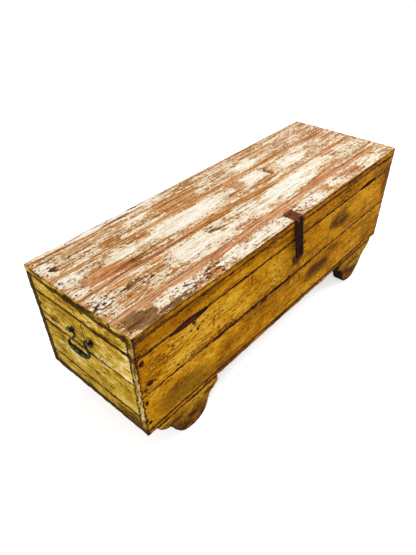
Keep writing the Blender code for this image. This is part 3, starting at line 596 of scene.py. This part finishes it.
LEFT_LIGHT = (
    (240, 24, 190, 10, -0.50), (330, 62, 60, 10, -0.16), (60, 110, 60, 30, 0.10),
    (70, 150, 60, 16, -0.34), (200, 230, 150, 34, 0.10), (330, 230, 60, 40, 0.04),
    (300, 130, 90, 30, 0.08), (350, 325, 60, 22, -0.34), (150, 320, 130, 26, 0.04),
    (210, 300, 60, 8, -0.14), (290, 300, 60, 8, -0.12), (40, 95, 30, 20, -0.18),
    (230, 180, 30, 24, -0.14), (190, 105, 30, 40, -0.10), (380, 345, 50, 16, -0.25),
    (380, 150, 30, 70, 0.14), (140, 80, 100, 12, -0.10), (65, 160, 56, 10, 0.30),
    (330, 164, 90, 9, 0.24), (396, 80, 18, 50, 0.22), (366, 236, 16, 40, -0.20),
    (200, 20, 60, 12, -0.40), (395, 20, 26, 12, -0.40), (100, 24, 50, 9, -0.20),
)
LEFT_BARE = (
    (40, 118, 26, 12, 0.36), (66, 148, 40, 9, 0.34), (218, 104, 3.0, 40, 0.60),
    (211, 71, 215, 4, 0.40), (60, 74, 50, 6, 0.30), (170, 71, 60, 7, 0.34), (300, 74, 60, 6, 0.30),
    (380, 70, 40, 7, 0.34), (211, 176, 215, 3, 0.16), (211, 299, 215, 3, 0.16),
    (240, 18, 190, 6, 0.34), (330, 68, 70, 6, 0.22), (150, 180, 130, 5, 0.18),
    (100, 300, 110, 5, 0.20), (300, 304, 70, 5, 0.18), (410, 120, 6, 70, 0.20),
    (260, 60, 60, 6, 0.16), (60, 180, 60, 6, 0.20), (380, 185, 6, 10, 0.20),
)

# Weathered thin and dusty, the paint is paler and more mottled than on the front.
pale_ochre = painted(
    "pale_ochre_oil_paint", ENDWISE,
    ((0.00, "#443008"), (0.18, "#7E6010"), (0.36, "#A5821E"), (0.52, "#C19B2C"),
     (0.68, "#CFAB3C"), (0.84, "#DEBF60"), (1.00, "#EDD69A")),
    PURPLE_BARE,
    ((0.0, 0.40), (0.302, 0.42), (0.398, 0.56), (0.6414, 0.50), (0.852, 0.50),
     (0.940, 0.26), (0.960, 0.40)),
    LEFT_LIGHT, LEFT_BARE, *LEFT_FACE, mottled=2.3)

for side, way in (("left", TOWARDS_LEFT), ("right", TOWARDS_RIGHT)):
    for place in ("upper", "middle", "lower"):
        node = f"{side}_end_board_{place}"
        board = plank(node)
        coat(board, bare_end_wood, (pale_ochre, way))
        wear(board, node)
        stand_for(board, node, "chest", "pale_ochre_paint")


# Back and floor.
# The back was never painted. The floor is three boards nailed up under the walls, and
# only their edges and ends, which show as a strip round the case, have paint on them.

# On the sawn ends the paint is olive-black with dirt.
dirty_ends = painted(
    "paint_black_with_dirt", ENDWISE,
    ((0.00, "#120C03"), (0.30, "#2E220C"), (0.55, "#463714"), (0.80, "#645322"),
     (1.00, "#867238")),
    PURPLE_BARE, ((0.0, 0.50), (0.5, 0.50)), (), (), *LEFT_FACE, edge=0.50)

for node in ("back_board_upper", "back_board_lower"):
    board = plank(node)
    coat(board, bare_wood, (dirty_ends, *BOTH_ENDS))
    wear(board, node)
    stand_for(board, node, "chest", "bare_wood")

for place in ("back", "middle", "front"):
    node = f"floor_board_{place}"
    board = plank(node, pitch=9 * MM)
    coat(board, bare_wood, (dirty_ends, *BOTH_ENDS),
         *(((ochre, TOWARDS_FRONT),) if place == "front" else ()))
    wear(board, node)
    stand_for(board, node, "chest", "ochre_paint" if place == "front" else "bare_wood")


# Feet.
# Four brackets sawn from 44 mm plank, nailed under the floor at the corners. The two
# in front are painted with the case, dark with handling and darker towards the bottom;
# the bare sawn edges of all four are coloured near black as painted shade.

FOOT_SKIN = 2.2 * MM     # how finely a foot's surface is drawn
SHARP_BELOW = 0.8        # cosine between the faces of an edge that counts as an arris
ARRIS_STEP = 2 * MM      # between the points that stand for the arrises


def cad_copy(node, name, merge):
    """A copy of a CAD node's mesh with its doubles merged, still in edit mode."""
    piece = bpy.data.objects.new(name, frame["nodes"][node].data.copy())
    bpy.context.collection.objects.link(piece)
    bpy.ops.object.select_all(action="DESELECT")
    bpy.context.view_layer.objects.active = piece
    piece.select_set(True)
    piece.data.materials.clear()
    bpy.ops.object.mode_set(mode="EDIT")
    bpy.ops.mesh.select_all(action="SELECT")
    bpy.ops.mesh.remove_doubles(threshold=merge)
    return piece


def bracket(node):
    """The CAD foot with rounded and worn arrises."""
    foot = cad_copy(node, node + "_bracket", 0.05 * MM)
    bpy.ops.mesh.dissolve_degenerate(threshold=0.2 * MM)
    bpy.ops.mesh.dissolve_limited(angle_limit=radians(1))
    bpy.ops.object.mode_set(mode="OBJECT")
    sides = {}
    for face in foot.data.polygons:
        for key in face.edge_keys:
            sides.setdefault(key, []).append(face.normal)
    arris = []
    for edge in foot.data.edges:
        faces = sides[edge.key]
        if len(faces) == 2 and abs(faces[0].dot(faces[1])) < SHARP_BELOW:
            start, stop = (foot.data.vertices[i].co for i in edge.vertices)
            count = int((stop - start).length / ARRIS_STEP) + 1
            arris += [start.lerp(stop, i / count) for i in range(count + 1)]
    nearest = KDTree(len(arris))
    for number, place in enumerate(arris):
        nearest.insert(place, number)
    nearest.balance()
    apply(foot, "REMESH", mode="VOXEL", voxel_size=FOOT_SKIN)
    apply(foot, "SMOOTH", factor=0.5, iterations=3)
    rub(foot, lambda point: fade(nearest.find(point.co)[2]), *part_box(node),
        depth=3 * MM, crumble=2 * MM)
    return foot


TOWARDS_BACK = (0, 1, 0)

# The sawn edges were left bare, and are coloured near black as painted shade.
shaded_sawn_wood = raw("sawn_wood_in_painted_shade", LENGTHWISE, (
    (0.10, "#0E0A06"), (0.45, "#1E160D"), (0.70, "#302413"), (0.95, "#4A3A20")))
FOOT_LIGHT = (
    (80, 420, 60, 40, -0.16), (200, 430, 70, 40, -0.10), (162, 440, 32, 18, -0.32),
    (198, 424, 30, 16, -0.24), (212, 462, 24, 22, -0.30), (110, 402, 70, 6, -0.40),
    (250, 398, 34, 8, -0.40), (130, 466, 26, 16, -0.40), (1074, 428, 34, 20, -0.32),
    (1116, 452, 40, 22, -0.34), (1100, 402, 70, 6, -0.35), (150, 478, 160, 18, -0.14),
    (1040, 440, 80, 60, -0.20), (1150, 470, 120, 26, -0.22), (1190, 410, 50, 40, 0.06),
)
FOOT_BARE = (
    (110, 440, 150, 70, 0.08), (1120, 440, 150, 70, 0.08), (60, 480, 60, 16, 0.16),
    (180, 488, 90, 10, 0.16), (110, 420, 60, 26, 0.10), (1040, 470, 60, 40, 0.10),
    (1130, 490, 110, 10, 0.26),
)

# The front's paint again, but knocked, dull and dirty.
foot_ochre = painted(
    "ochre_oil_paint_on_feet", LENGTHWISE,
    ((0.00, "#3A1E06"), (0.20, "#6E4508"), (0.40, "#875A0C"), (0.58, "#A0700F"),
     (0.76, "#B58518"), (1.00, "#D6A43A")),
    ((0.25, "#1E0E08"), (0.50, "#38190C"), (0.75, "#5E3A1A")),
    ((0.0, 0.45), (0.5, 0.50)),
    FOOT_LIGHT, FOOT_BARE, (LEFT, FRONT, TOP), ((1, 0, 0), (0, 0, -1)), (0, 2, 0),
    flecks=1.3, mottled=2.8)

for row in ("front", "back"):
    for side in ("left", "right"):
        node = f"{row}_{side}_foot"
        foot = bracket(node)
        coat(foot, shaded_sawn_wood, (foot_ochre, TOWARDS_FRONT, TOWARDS_BACK))
        stand_for(foot, node, "chest", "ochre_paint")


# Lid.
# Four planks nailed down on a rim of four narrow boards, with two battens inside. The
# top was limed white over old brown wood, and the coat has flaked off in long streaks.

LID_SEAMS = [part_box(f"top_board_{p}")[0].y for p in ("back", "rear_middle", "front_middle")]
WHITE_LEFT = 0.56        # how much of the coat holds where no mark says otherwise

# How much of the white coat is left. On the top, rows go forward from the back edge.
TOP_COAT = (
    (640, 0, 640, 4, -0.60), (22, 250, 26, 110, 0.20), (240, 8, 290, 9, 0.45),
    (190, 24, 200, 5, -0.35),
    # back board: a white streak along the edge, white left corner, brown middle
    (240, 11, 270, 8, 0.35), (150, 21, 170, 5, -0.34), (900, 12, 350, 14, -0.09),
    (25, 68, 28, 46, 0.31), (190, 48, 160, 13, -0.19), (280, 60, 110, 12, 0.16),
    (120, 92, 66, 20, 0.14), (222, 90, 36, 22, -0.30), (490, 78, 135, 42, -0.30),
    (420, 86, 50, 4, 0.31), (455, 104, 66, 6, 0.22), (560, 46, 60, 5, 0.22),
    (820, 86, 66, 28, 0.28), (950, 70, 90, 40, -0.09), (1150, 68, 130, 46, -0.03),
    # seam and second board: white through the middle, broken by brown
    (560, 122, 420, 11, -0.50), (960, 124, 330, 7, -0.34), (60, 122, 60, 8, -0.16),
    (34, 148, 36, 30, 0.24), (110, 196, 96, 24, -0.44), (110, 165, 44, 34, -0.06),
    (205, 160, 66, 30, 0.20), (290, 148, 36, 8, -0.42), (160, 212, 150, 8, -0.27),
    (450, 168, 215, 42, 0.38), (678, 156, 28, 22, -0.42), (762, 166, 64, 40, 0.35),
    (838, 178, 19, 30, -0.52), (950, 180, 110, 36, 0.24), (1160, 172, 120, 46, -0.07),
    # seam and third board: the brightest white, with a long sliver lifted out
    (480, 233, 260, 14, -0.58), (690, 238, 110, 17, -0.55), (1000, 240, 330, 6, -0.38),
    (150, 231, 180, 12, -0.55), (112, 256, 40, 12, -0.50), (182, 268, 16, 8, -0.60),
    (124, 280, 46, 7, -0.45), (50, 275, 60, 26, 0.20), (34, 330, 30, 16, 0.10),
    (70, 322, 84, 20, -0.12), (200, 280, 58, 30, -0.03), (240, 257, 14, 14, -0.42),
    (390, 292, 150, 48, 0.31), (440, 283, 44, 8, -0.72), (454, 297, 24, 8, -0.62),
    (580, 292, 70, 46, 0.16), (800, 285, 165, 44, 0.43), (650, 300, 60, 30, 0.16),
    (985, 270, 100, 27, 0.26), (970, 318, 100, 18, -0.27), (1170, 285, 120, 44, 0.07),
    # the wide bare band along the front board's seam
    (170, 354, 210, 14, -0.68), (400, 362, 66, 13, -0.72), (620, 352, 200, 18, -0.76),
    (900, 346, 175, 16, -0.68), (1110, 352, 150, 14, -0.38),
    # front board: dirt at the corner, then white between the nail rows
    (55, 392, 44, 34, -1.08), (140, 410, 60, 11, -0.38), (180, 385, 95, 18, 0.32),
    (300, 400, 32, 22, -0.27), (420, 396, 110, 28, 0.30), (462, 376, 30, 12, -0.30),
    (560, 398, 90, 26, 0.30), (750, 396, 84, 26, 0.24), (850, 380, 30, 13, -0.28),
    (905, 392, 36, 24, 0.24), (1000, 385, 60, 30, -0.12), (1130, 390, 84, 27, 0.27),
    (1240, 400, 40, 26, -0.16),
)
# Where the bare wood is browner than elsewhere.
TOP_DARK = (
    (240, 90, 62, 30, -0.08), (560, 72, 170, 40, -0.08), (340, 60, 120, 8, -0.08),
    (170, 24, 190, 6, -0.15), (480, 236, 260, 14, -0.10), (690, 238, 110, 16, -0.10),
    (830, 178, 24, 30, -0.12), (170, 210, 150, 20, -0.12), (1000, 90, 90, 40, -0.06),
)
# Warm pink-brown where the coat is long gone, as against grey-brown dirt.
TOP_PINK = (
    (560, 352, 760, 28, 1.0), (1150, 120, 240, 130, 1.0), (1150, 270, 250, 140, 0.7),
    (680, 170, 60, 50, 0.5), (90, 215, 120, 34, 0.7), (240, 235, 300, 16, 0.5),
    (1000, 385, 60, 30, 0.8),
)
TOP_GREY = (
    (640, 0, 640, 4, 1.0), (55, 394, 52, 36, 1.5), (150, 412, 80, 16, 1.0), (440, 284, 48, 14, 0.7),
    (834, 178, 14, 28, 0.7), (120, 279, 44, 12, 0.6),
)
TOP_FLECKS = (
    (36, 86, 13, 15, 0.40), (25, 60, 34, 50, 0.10), (102, 66, 6, 10, 0.40), (90, 155, 80, 34, 0.11),
    (90, 285, 120, 50, 0.11), (230, 300, 120, 60, 0.07), (430, 400, 380, 34, 0.10),
    (200, 388, 110, 26, 0.09), (300, 396, 50, 30, 0.08), (740, 398, 120, 30, 0.10),
    (1000, 394, 140, 30, 0.08), (24, 260, 30, 150, 0.10), (1190, 296, 100, 40, 0.12),
    (1230, 380, 50, 60, 0.09), (780, 122, 100, 20, 0.07), (560, 250, 300, 20, 0.04),
    (1240, 180, 40, 160, 0.06),
)


def limed(name):
    """White lime paint flaked off old wood: tan and brown grain shows in streaks."""
    material, tree, end = blank(name)
    place = add(tree, "TexCoord").node.outputs["Object"]
    parts = add(tree, "SeparateXYZ", {0: place}).node
    shifted = place
    for seam in LID_SEAMS:            # each plank has its own grain
        step = add(tree, "Math", {0: parts.outputs[1], 1: seam}, operation="GREATER_THAN")
        jump = add(tree, "CombineXYZ", {0: step, 2: step})
        shifted = add(tree, "VectorMath", {0: jump, 1: (3.7, 0, 1.3), 2: shifted},
                      operation="MULTIPLY_ADD")
    loose = wander(tree, place, (0.150, 0.040, 0.0))
    face = (LEFT, BACK, TOP), ((1, 0, 0), (0, -1, 0)), (0, 0, 1)

    cloud, streak, flake, fine, stipple, crack, specks = clouds(tree, shifted, (
        ((7, 26, 20), 6.0, 0.65),        # 140 by 38 mm, where the coat held or let go
        ((5.5, 110, 60), 6.0, 0.68),     # 180 by 9 mm, wood grain
        ((34, 80, 60), 6.0, 0.74),       # 29 by 12 mm, single flakes
        ((90, 300, 200), 3.0, 0.6),      # 11 by 3.3 mm, fibres
        ((170, 240, 200), 4.0, 0.7),     # 6 by 4 mm, crumbs
        ((9, 330, 60), 4.0, 0.62),       # 110 by 3 mm, hairline cracks
        ((70, 130, 100), 4.0, 0.66),     # 14 by 8 mm, dark specks
    ))

    cover = sway(tree, WHITE_LEFT, ((cloud, 1.0), (streak, 1.25), (flake, 1.3), (fine, 1.0),
                                    (stipple, 1.05)))
    cover = marks(tree, loose, cover, TOP_COAT, *face)
    worn = add(tree, "Attribute", attribute_name="worn").node.outputs["Fac"]
    cover = add(tree, "Math", {0: worn, 1: -0.18, 2: cover}, operation="MULTIPLY_ADD")
    coat_left = add(tree, "MapRange", {"Value": cover, "From Min": 0.46,
                                       "From Max": 0.54}, interpolation_type="SMOOTHSTEP")
    white = add(tree, "ValToRGB", {0: cover}, stops=(
        (0.45, "#D6AC7C"), (0.56, "#E2C8A0"), (0.68, "#E8D7BA"), (0.84, "#ECE4D2"),
        (1.00, "#F3EFE4")))

    grain = sway(tree, 0.5, ((cloud, 0.7), (streak, 1.9), (fine, 0.9)))
    grain = marks(tree, loose, grain, TOP_DARK, *face)
    bare = add(tree, "ValToRGB", {0: grain}, stops=(
        (0.08, "#6A3E18"), (0.32, "#A86E36"), (0.50, "#CE945B"), (0.66, "#E0AC7A"),
        (0.88, "#ECC8A0")))
    pink = add(tree, "ValToRGB", {0: grain}, stops=(
        (0.15, "#8A4E2A"), (0.36, "#B2764A"), (0.52, "#C88F66"), (0.68, "#D6A680"),
        (0.90, "#E4C0A0")))
    grey = add(tree, "ValToRGB", {0: grain}, stops=(
        (0.15, "#452E18"), (0.36, "#6A4B2B"), (0.52, "#80603C"), (0.68, "#957450"),
        (0.90, "#B49A76")))
    for other, rows in ((pink, TOP_PINK), (grey, TOP_GREY)):
        reach = marks(tree, loose, cloud, rows, *face)
        reach = add(tree, "MapRange", {"Value": reach, "From Min": 0.60,
                                       "From Max": 1.0})
        bare = add(tree, "Mix", {"Factor": reach, 6: bare, 7: other},
                   data_type="RGBA").node.outputs[2]
    colour = add(tree, "Mix", {"Factor": coat_left, 6: bare, 7: white},
                 data_type="RGBA").node.outputs[2]

    # hairline cracks along the grain, through coat and wood alike
    crack = add(tree, "Math", {0: flake, 1: 0.22, 2: crack}, operation="MULTIPLY_ADD")
    crack = add(tree, "MapRange", {"Value": crack, "From Min": 0.685, "From Max": 0.725,
                                   "To Max": 0.85}, interpolation_type="SMOOTHSTEP")
    colour = add(tree, "Mix", {"Factor": crack, 6: colour, 7: tint("#9A6026")},
                 data_type="RGBA").node.outputs[2]

    # a darker brown line along the broken edge of the coat
    rim = add(tree, "Math", {0: cover, 1: 0.47}, operation="SUBTRACT")
    rim = add(tree, "Math", {0: rim}, operation="ABSOLUTE")
    rim = add(tree, "MapRange", {"Value": rim, "From Min": 0.0, "From Max": 0.05,
                                 "To Min": 0.45, "To Max": 0.0})
    colour = add(tree, "Mix", {"Factor": rim, 6: colour, 7: tint("#7C4E28")},
                 data_type="RGBA").node.outputs[2]

    specks = marks(tree, loose, specks, TOP_FLECKS, *face)
    specks = add(tree, "MapRange", {"Value": specks, "From Min": 0.67, "From Max": 0.73},
                 interpolation_type="SMOOTHSTEP")
    speck = add(tree, "ValToRGB", {0: streak}, stops=((0.35, "#341E18"), (0.60, "#7A4A2A")))
    colour = add(tree, "Mix", {"Factor": specks, 6: colour, 7: speck},
                 data_type="RGBA").node.outputs[2]

    height = 0.0
    for part, weight in ((fine, 0.6), (streak, 0.6), (coat_left, 0.7), (specks, -0.5)):
        height = add(tree, "Math", {0: part, 1: weight, 2: height},
                     operation="MULTIPLY_ADD")
    gloss = add(tree, "MapRange", {"Value": coat_left, "To Min": 0.78, "To Max": 0.62})
    dress(tree, end, colour, gloss, height, strength=0.9, depth=1.0 * MM,
          specular=PAINT_SHINE)
    return material


# Chalky white in flakes, with tan wood between them, and matt all over.
lime = limed("flaked_lime_paint")

# On the edges of the lid's planks the ochre is smeared over the joints and black with dirt.
LID_DIRT = (
    (240, 20, 190, 12, -0.35), (200, 20, 60, 14, -0.30), (395, 20, 30, 14, -0.35),
    (60, 20, 70, 12, -0.12),
)
lid_ends = painted(
    "smeared_pale_ochre_paint", ENDWISE,
    ((0.00, "#1E1206"), (0.18, "#5A4210"), (0.36, "#94741C"), (0.52, "#B9942E"),
     (0.68, "#CBA740"), (0.84, "#DCBD66"), (1.00, "#EAD49C")),
    PURPLE_BARE, ((0.0, 0.46), (0.5, 0.46)), LID_DIRT, (), *LEFT_FACE, mottled=3.0,
    flecks=1.4, edge=0.34)

UPWARDS = (0, 0, 1)

for place in ("back", "rear_middle", "front_middle", "front"):
    node = f"top_board_{place}"
    board = plank(node)
    coat(board, bare_wood, (lid_ends, *BOTH_ENDS),
         *(((ochre, TOWARDS_FRONT),) if place == "front" else ()),
         (lime, UPWARDS))
    wear(board, node, depth=2.5 * MM, crumble=2.5 * MM)
    stand_for(board, node, "lid", "cream_paint")

for place, wood, coats, slot in (
        ("front", bare_wood, ((ochre, TOWARDS_FRONT), (pale_ends, *BOTH_ENDS)),
         "ochre_paint"),
        ("back", bare_wood, ((dirty_ends, *BOTH_ENDS),), "bare_wood"),
        ("left", bare_end_wood, ((pale_ochre, TOWARDS_LEFT),), "pale_ochre_paint"),
        ("right", bare_end_wood, ((pale_ochre, TOWARDS_RIGHT),), "pale_ochre_paint")):
    node = f"lid_{place}_skirt"
    board = plank(node)
    coat(board, wood, *coats)
    if place == "front":
        tear(board, chips)
        tear(board, seam_chips)
    wear(board, node)
    stand_for(board, node, "lid", slot)

for side in ("left", "right"):
    node = f"lid_batten_{side}"
    board = plank(node)
    coat(board, bare_end_wood)
    wear(board, node)
    stand_for(board, node, "lid", "bare_wood")

for tool in (chips, seam_chips):
    bpy.data.objects.remove(tool)


# Ironwork.
# All of it is hammered mild steel. What stays still has rusted brown; the drop handles
# are worn dark and smooth by hands. Pins, leaves and straps keep hammer marks.

hammer = bpy.data.textures.new("hammer", "CLOUDS")
hammer.noise_scale, hammer.noise_depth = 9 * MM, 1


def forged(node, skin, dents):
    """The CAD piece with softened corners and hammer marks."""
    iron = cad_copy(node, node + "_iron", 0.01 * MM)
    bpy.ops.object.mode_set(mode="OBJECT")
    apply(iron, "REMESH", mode="VOXEL", voxel_size=skin)
    apply(iron, "SMOOTH", factor=0.5, iterations=4)
    apply(iron, "DISPLACE", texture=hammer, texture_coords="LOCAL", mid_level=1.0,
          strength=dents)
    bpy.ops.object.shade_smooth()
    return iron


def iron_skin(name, tones, rust, rust_at, metal, rough):
    """Old iron: a dark scale, rust in patches, brighter where it is rubbed."""
    material, tree, end = blank(name)
    place = add(tree, "TexCoord").node.outputs["Object"]
    patch, pits, spread = clouds(tree, place, (
        ((70, 70, 70), 6.0, 0.65),       # 14 mm, patches of scale
        ((600, 600, 600), 3.0, 0.6),     # 1.7 mm, pits
        ((120, 120, 120), 5.0, 0.7),     # 8 mm, spots of rust
    ))
    tone = add(tree, "Math", {0: patch, 1: 1.2, 2: -0.32}, operation="MULTIPLY_ADD")
    tone = add(tree, "Math", {0: pits, 1: 0.45, 2: tone}, operation="MULTIPLY_ADD")
    scale = add(tree, "ValToRGB", {0: tone}, stops=tones)
    rusty = add(tree, "MapRange", {"Value": spread, "From Min": rust_at,
                                   "From Max": rust_at + 0.10})
    colour = add(tree, "Mix", {"Factor": rusty, 6: scale, 7: tint(rust)},
                 data_type="RGBA").node.outputs[2]
    metallic = add(tree, "MapRange", {"Value": rusty, "To Min": metal, "To Max": 0.0})
    gloss = add(tree, "MapRange", {"Value": rusty, "To Min": rough, "To Max": 0.88})
    gloss = add(tree, "Math", {0: pits, 1: 0.2, 2: gloss}, operation="MULTIPLY_ADD")
    height = add(tree, "Math", {0: rusty, 1: 0.4, 2: pits}, operation="MULTIPLY_ADD")
    dress(tree, end, colour, gloss, height, strength=0.7, depth=0.25 * MM,
          specular=IRON_SHINE, metallic=metallic)
    return material


# Rust makes the steel matt, near black with red-brown patches, and on the hasp's leaf a
# drier brown. Iron that hands have rubbed keeps a dull grey shine on its high places.
rusted = iron_skin("rusted_mild_steel", (
    (0.20, "#050201"), (0.50, "#170604"), (0.80, "#38140B")), "#3E160C", 0.57, 0.05, 0.60)
leaf_rust = iron_skin("brown_rusted_steel", (
    (0.20, "#3A1C12"), (0.50, "#643622"), (0.80, "#865236")), "#4C2A16", 0.60, 0.05, 0.65)
handled = iron_skin("hand_worn_forged_iron", (
    (0.20, "#0A0A06"), (0.50, "#1F1E14"), (0.85, "#77745C")), "#241A10", 0.64, 0.90, 0.34)

# The two butt hinges behind, clenched with nails, are rusted all over.
for side in ("left", "right"):
    for part in ("lower_leaf", "upper_leaf", "pin", "lower_nail_a", "lower_nail_b",
                 "upper_nail_a", "upper_nail_b"):
        node = f"{side}_hinge_{part}"
        iron = forged(node, skin=0.8 * MM if "leaf" in part else 0.5 * MM,
                      dents=0.3 * MM)
        iron.data.materials.append(rusted)
        stand_for(iron, node, frame["nodes"][node]["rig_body"], "rusted_iron")

# The hasp's leaf is nailed over the lid's edge, its strap drops over the staple.
HASP_IRON = {"hasp_leaf": leaf_rust, "hasp_nail_front": leaf_rust,
             "hasp_nail_back": leaf_rust, "staple": handled}
for node in ("hasp_leaf", "hasp_pin", "hasp_strap", "hasp_nail_front", "hasp_nail_back",
             "staple"):
    iron = forged(node, skin=0.5 * MM, dents=0.35 * MM)
    iron.data.materials.append(HASP_IRON.get(node, rusted))
    stand_for(iron, node, frame["nodes"][node]["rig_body"], "rusted_iron")

# The handles hang in forged posts, whose shanks are riveted inside over roves.
for side in ("left", "right"):
    for part in ("front_post", "back_post", "front_rove", "back_rove", "bail"):
        node = f"{side}_{part}"
        iron = forged(node, skin=0.6 * MM, dents=0.35 * MM)
        iron.data.materials.append(handled)
        stand_for(iron, node, frame["nodes"][node]["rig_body"], "forged_iron")


# Nails.
# Cut steel nails hold the long boards to the end boards and the top to its rim and
# battens. Their flat heads, 6 mm wide, sit nearly flush and have rusted, black on the
# case and brown on the lid.

HEAD = 3.1 * MM          # radius of a nail head
HEAD_DEPTH = 3.0 * MM
PROUD = 0.35 * MM        # how far a head stands out of the wood
FROM_END = 0.6223
SEAM_NAILS = (0.406, 0.308, 0.262, 0.180)        # heights in the case's long boards
SKIRT_NAIL = 0.436
TOP_NAILS = (0.190, 0.125, 0.075, 0.005, -0.040, -0.105, -0.150, -0.190)
EDGE_NAILS = (-0.51, -0.37, -0.18, 0.12, 0.344, 0.496)
BATTEN_MIDDLE = 0.31
EDGE_INSET = 11 * MM     # from the lid's long edges to the nails along them
FACING_FRONT, FACING_BACK, FACING_UP = (radians(90), 0, 0), (radians(-90), 0, 0), (0, 0, 0)


def nail_heads(name, places, body, rust):
    """One nail head, made once and set in at every place."""
    bpy.ops.object.select_all(action="DESELECT")
    bpy.ops.mesh.primitive_cylinder_add(vertices=14, radius=HEAD, depth=HEAD_DEPTH,
                                        location=(0, 0, PROUD - HEAD_DEPTH / 2))
    head = bpy.context.object
    bpy.ops.object.transform_apply(location=True, rotation=True, scale=True)
    bpy.ops.object.mode_set(mode="EDIT")
    bpy.ops.mesh.select_all(action="SELECT")
    bpy.ops.mesh.bevel(offset=PROUD, segments=2, affect="EDGES")
    bpy.ops.object.mode_set(mode="OBJECT")
    apply(head, "DISPLACE", texture=nibble, texture_coords="LOCAL", mid_level=1.0,
          strength=PROUD)
    bpy.ops.object.shade_smooth_by_angle(angle=SMOOTH_UNDER)
    head.select_set(False)
    for place, facing in places:
        one = head.copy()
        one.data = head.data.copy()
        one.location, one.rotation_euler = place, facing
        bpy.context.collection.objects.link(one)
        one.select_set(True)
        bpy.context.view_layer.objects.active = one
    bpy.data.objects.remove(head)
    bpy.ops.object.join()
    heads = bpy.context.object
    heads.name = name
    bpy.ops.object.transform_apply(location=True, rotation=True, scale=True)
    heads.data.materials.append(rust)
    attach(heads, body)


nail_heads("case_nails", [
    ((x, y, z), facing) for y, facing in ((FRONT, FACING_FRONT), (BACK, FACING_BACK))
    for x in (-FROM_END, FROM_END) for z in SEAM_NAILS], "chest", rusted)
nail_heads("lid_nails", [
    ((x, y, SKIRT_NAIL), facing) for y, facing in ((FRONT, FACING_FRONT),
                                                   (BACK, FACING_BACK))
    for x in (-FROM_END, FROM_END)
] + [
    ((x, y, TOP), FACING_UP) for y in TOP_NAILS
    for x in (-FROM_END, -BATTEN_MIDDLE, BATTEN_MIDDLE, FROM_END)
] + [
    ((x, y, TOP), FACING_UP) for y in (FRONT + EDGE_INSET, BACK - EDGE_INSET)
    for x in EDGE_NAILS
], "lid", leaf_rust)
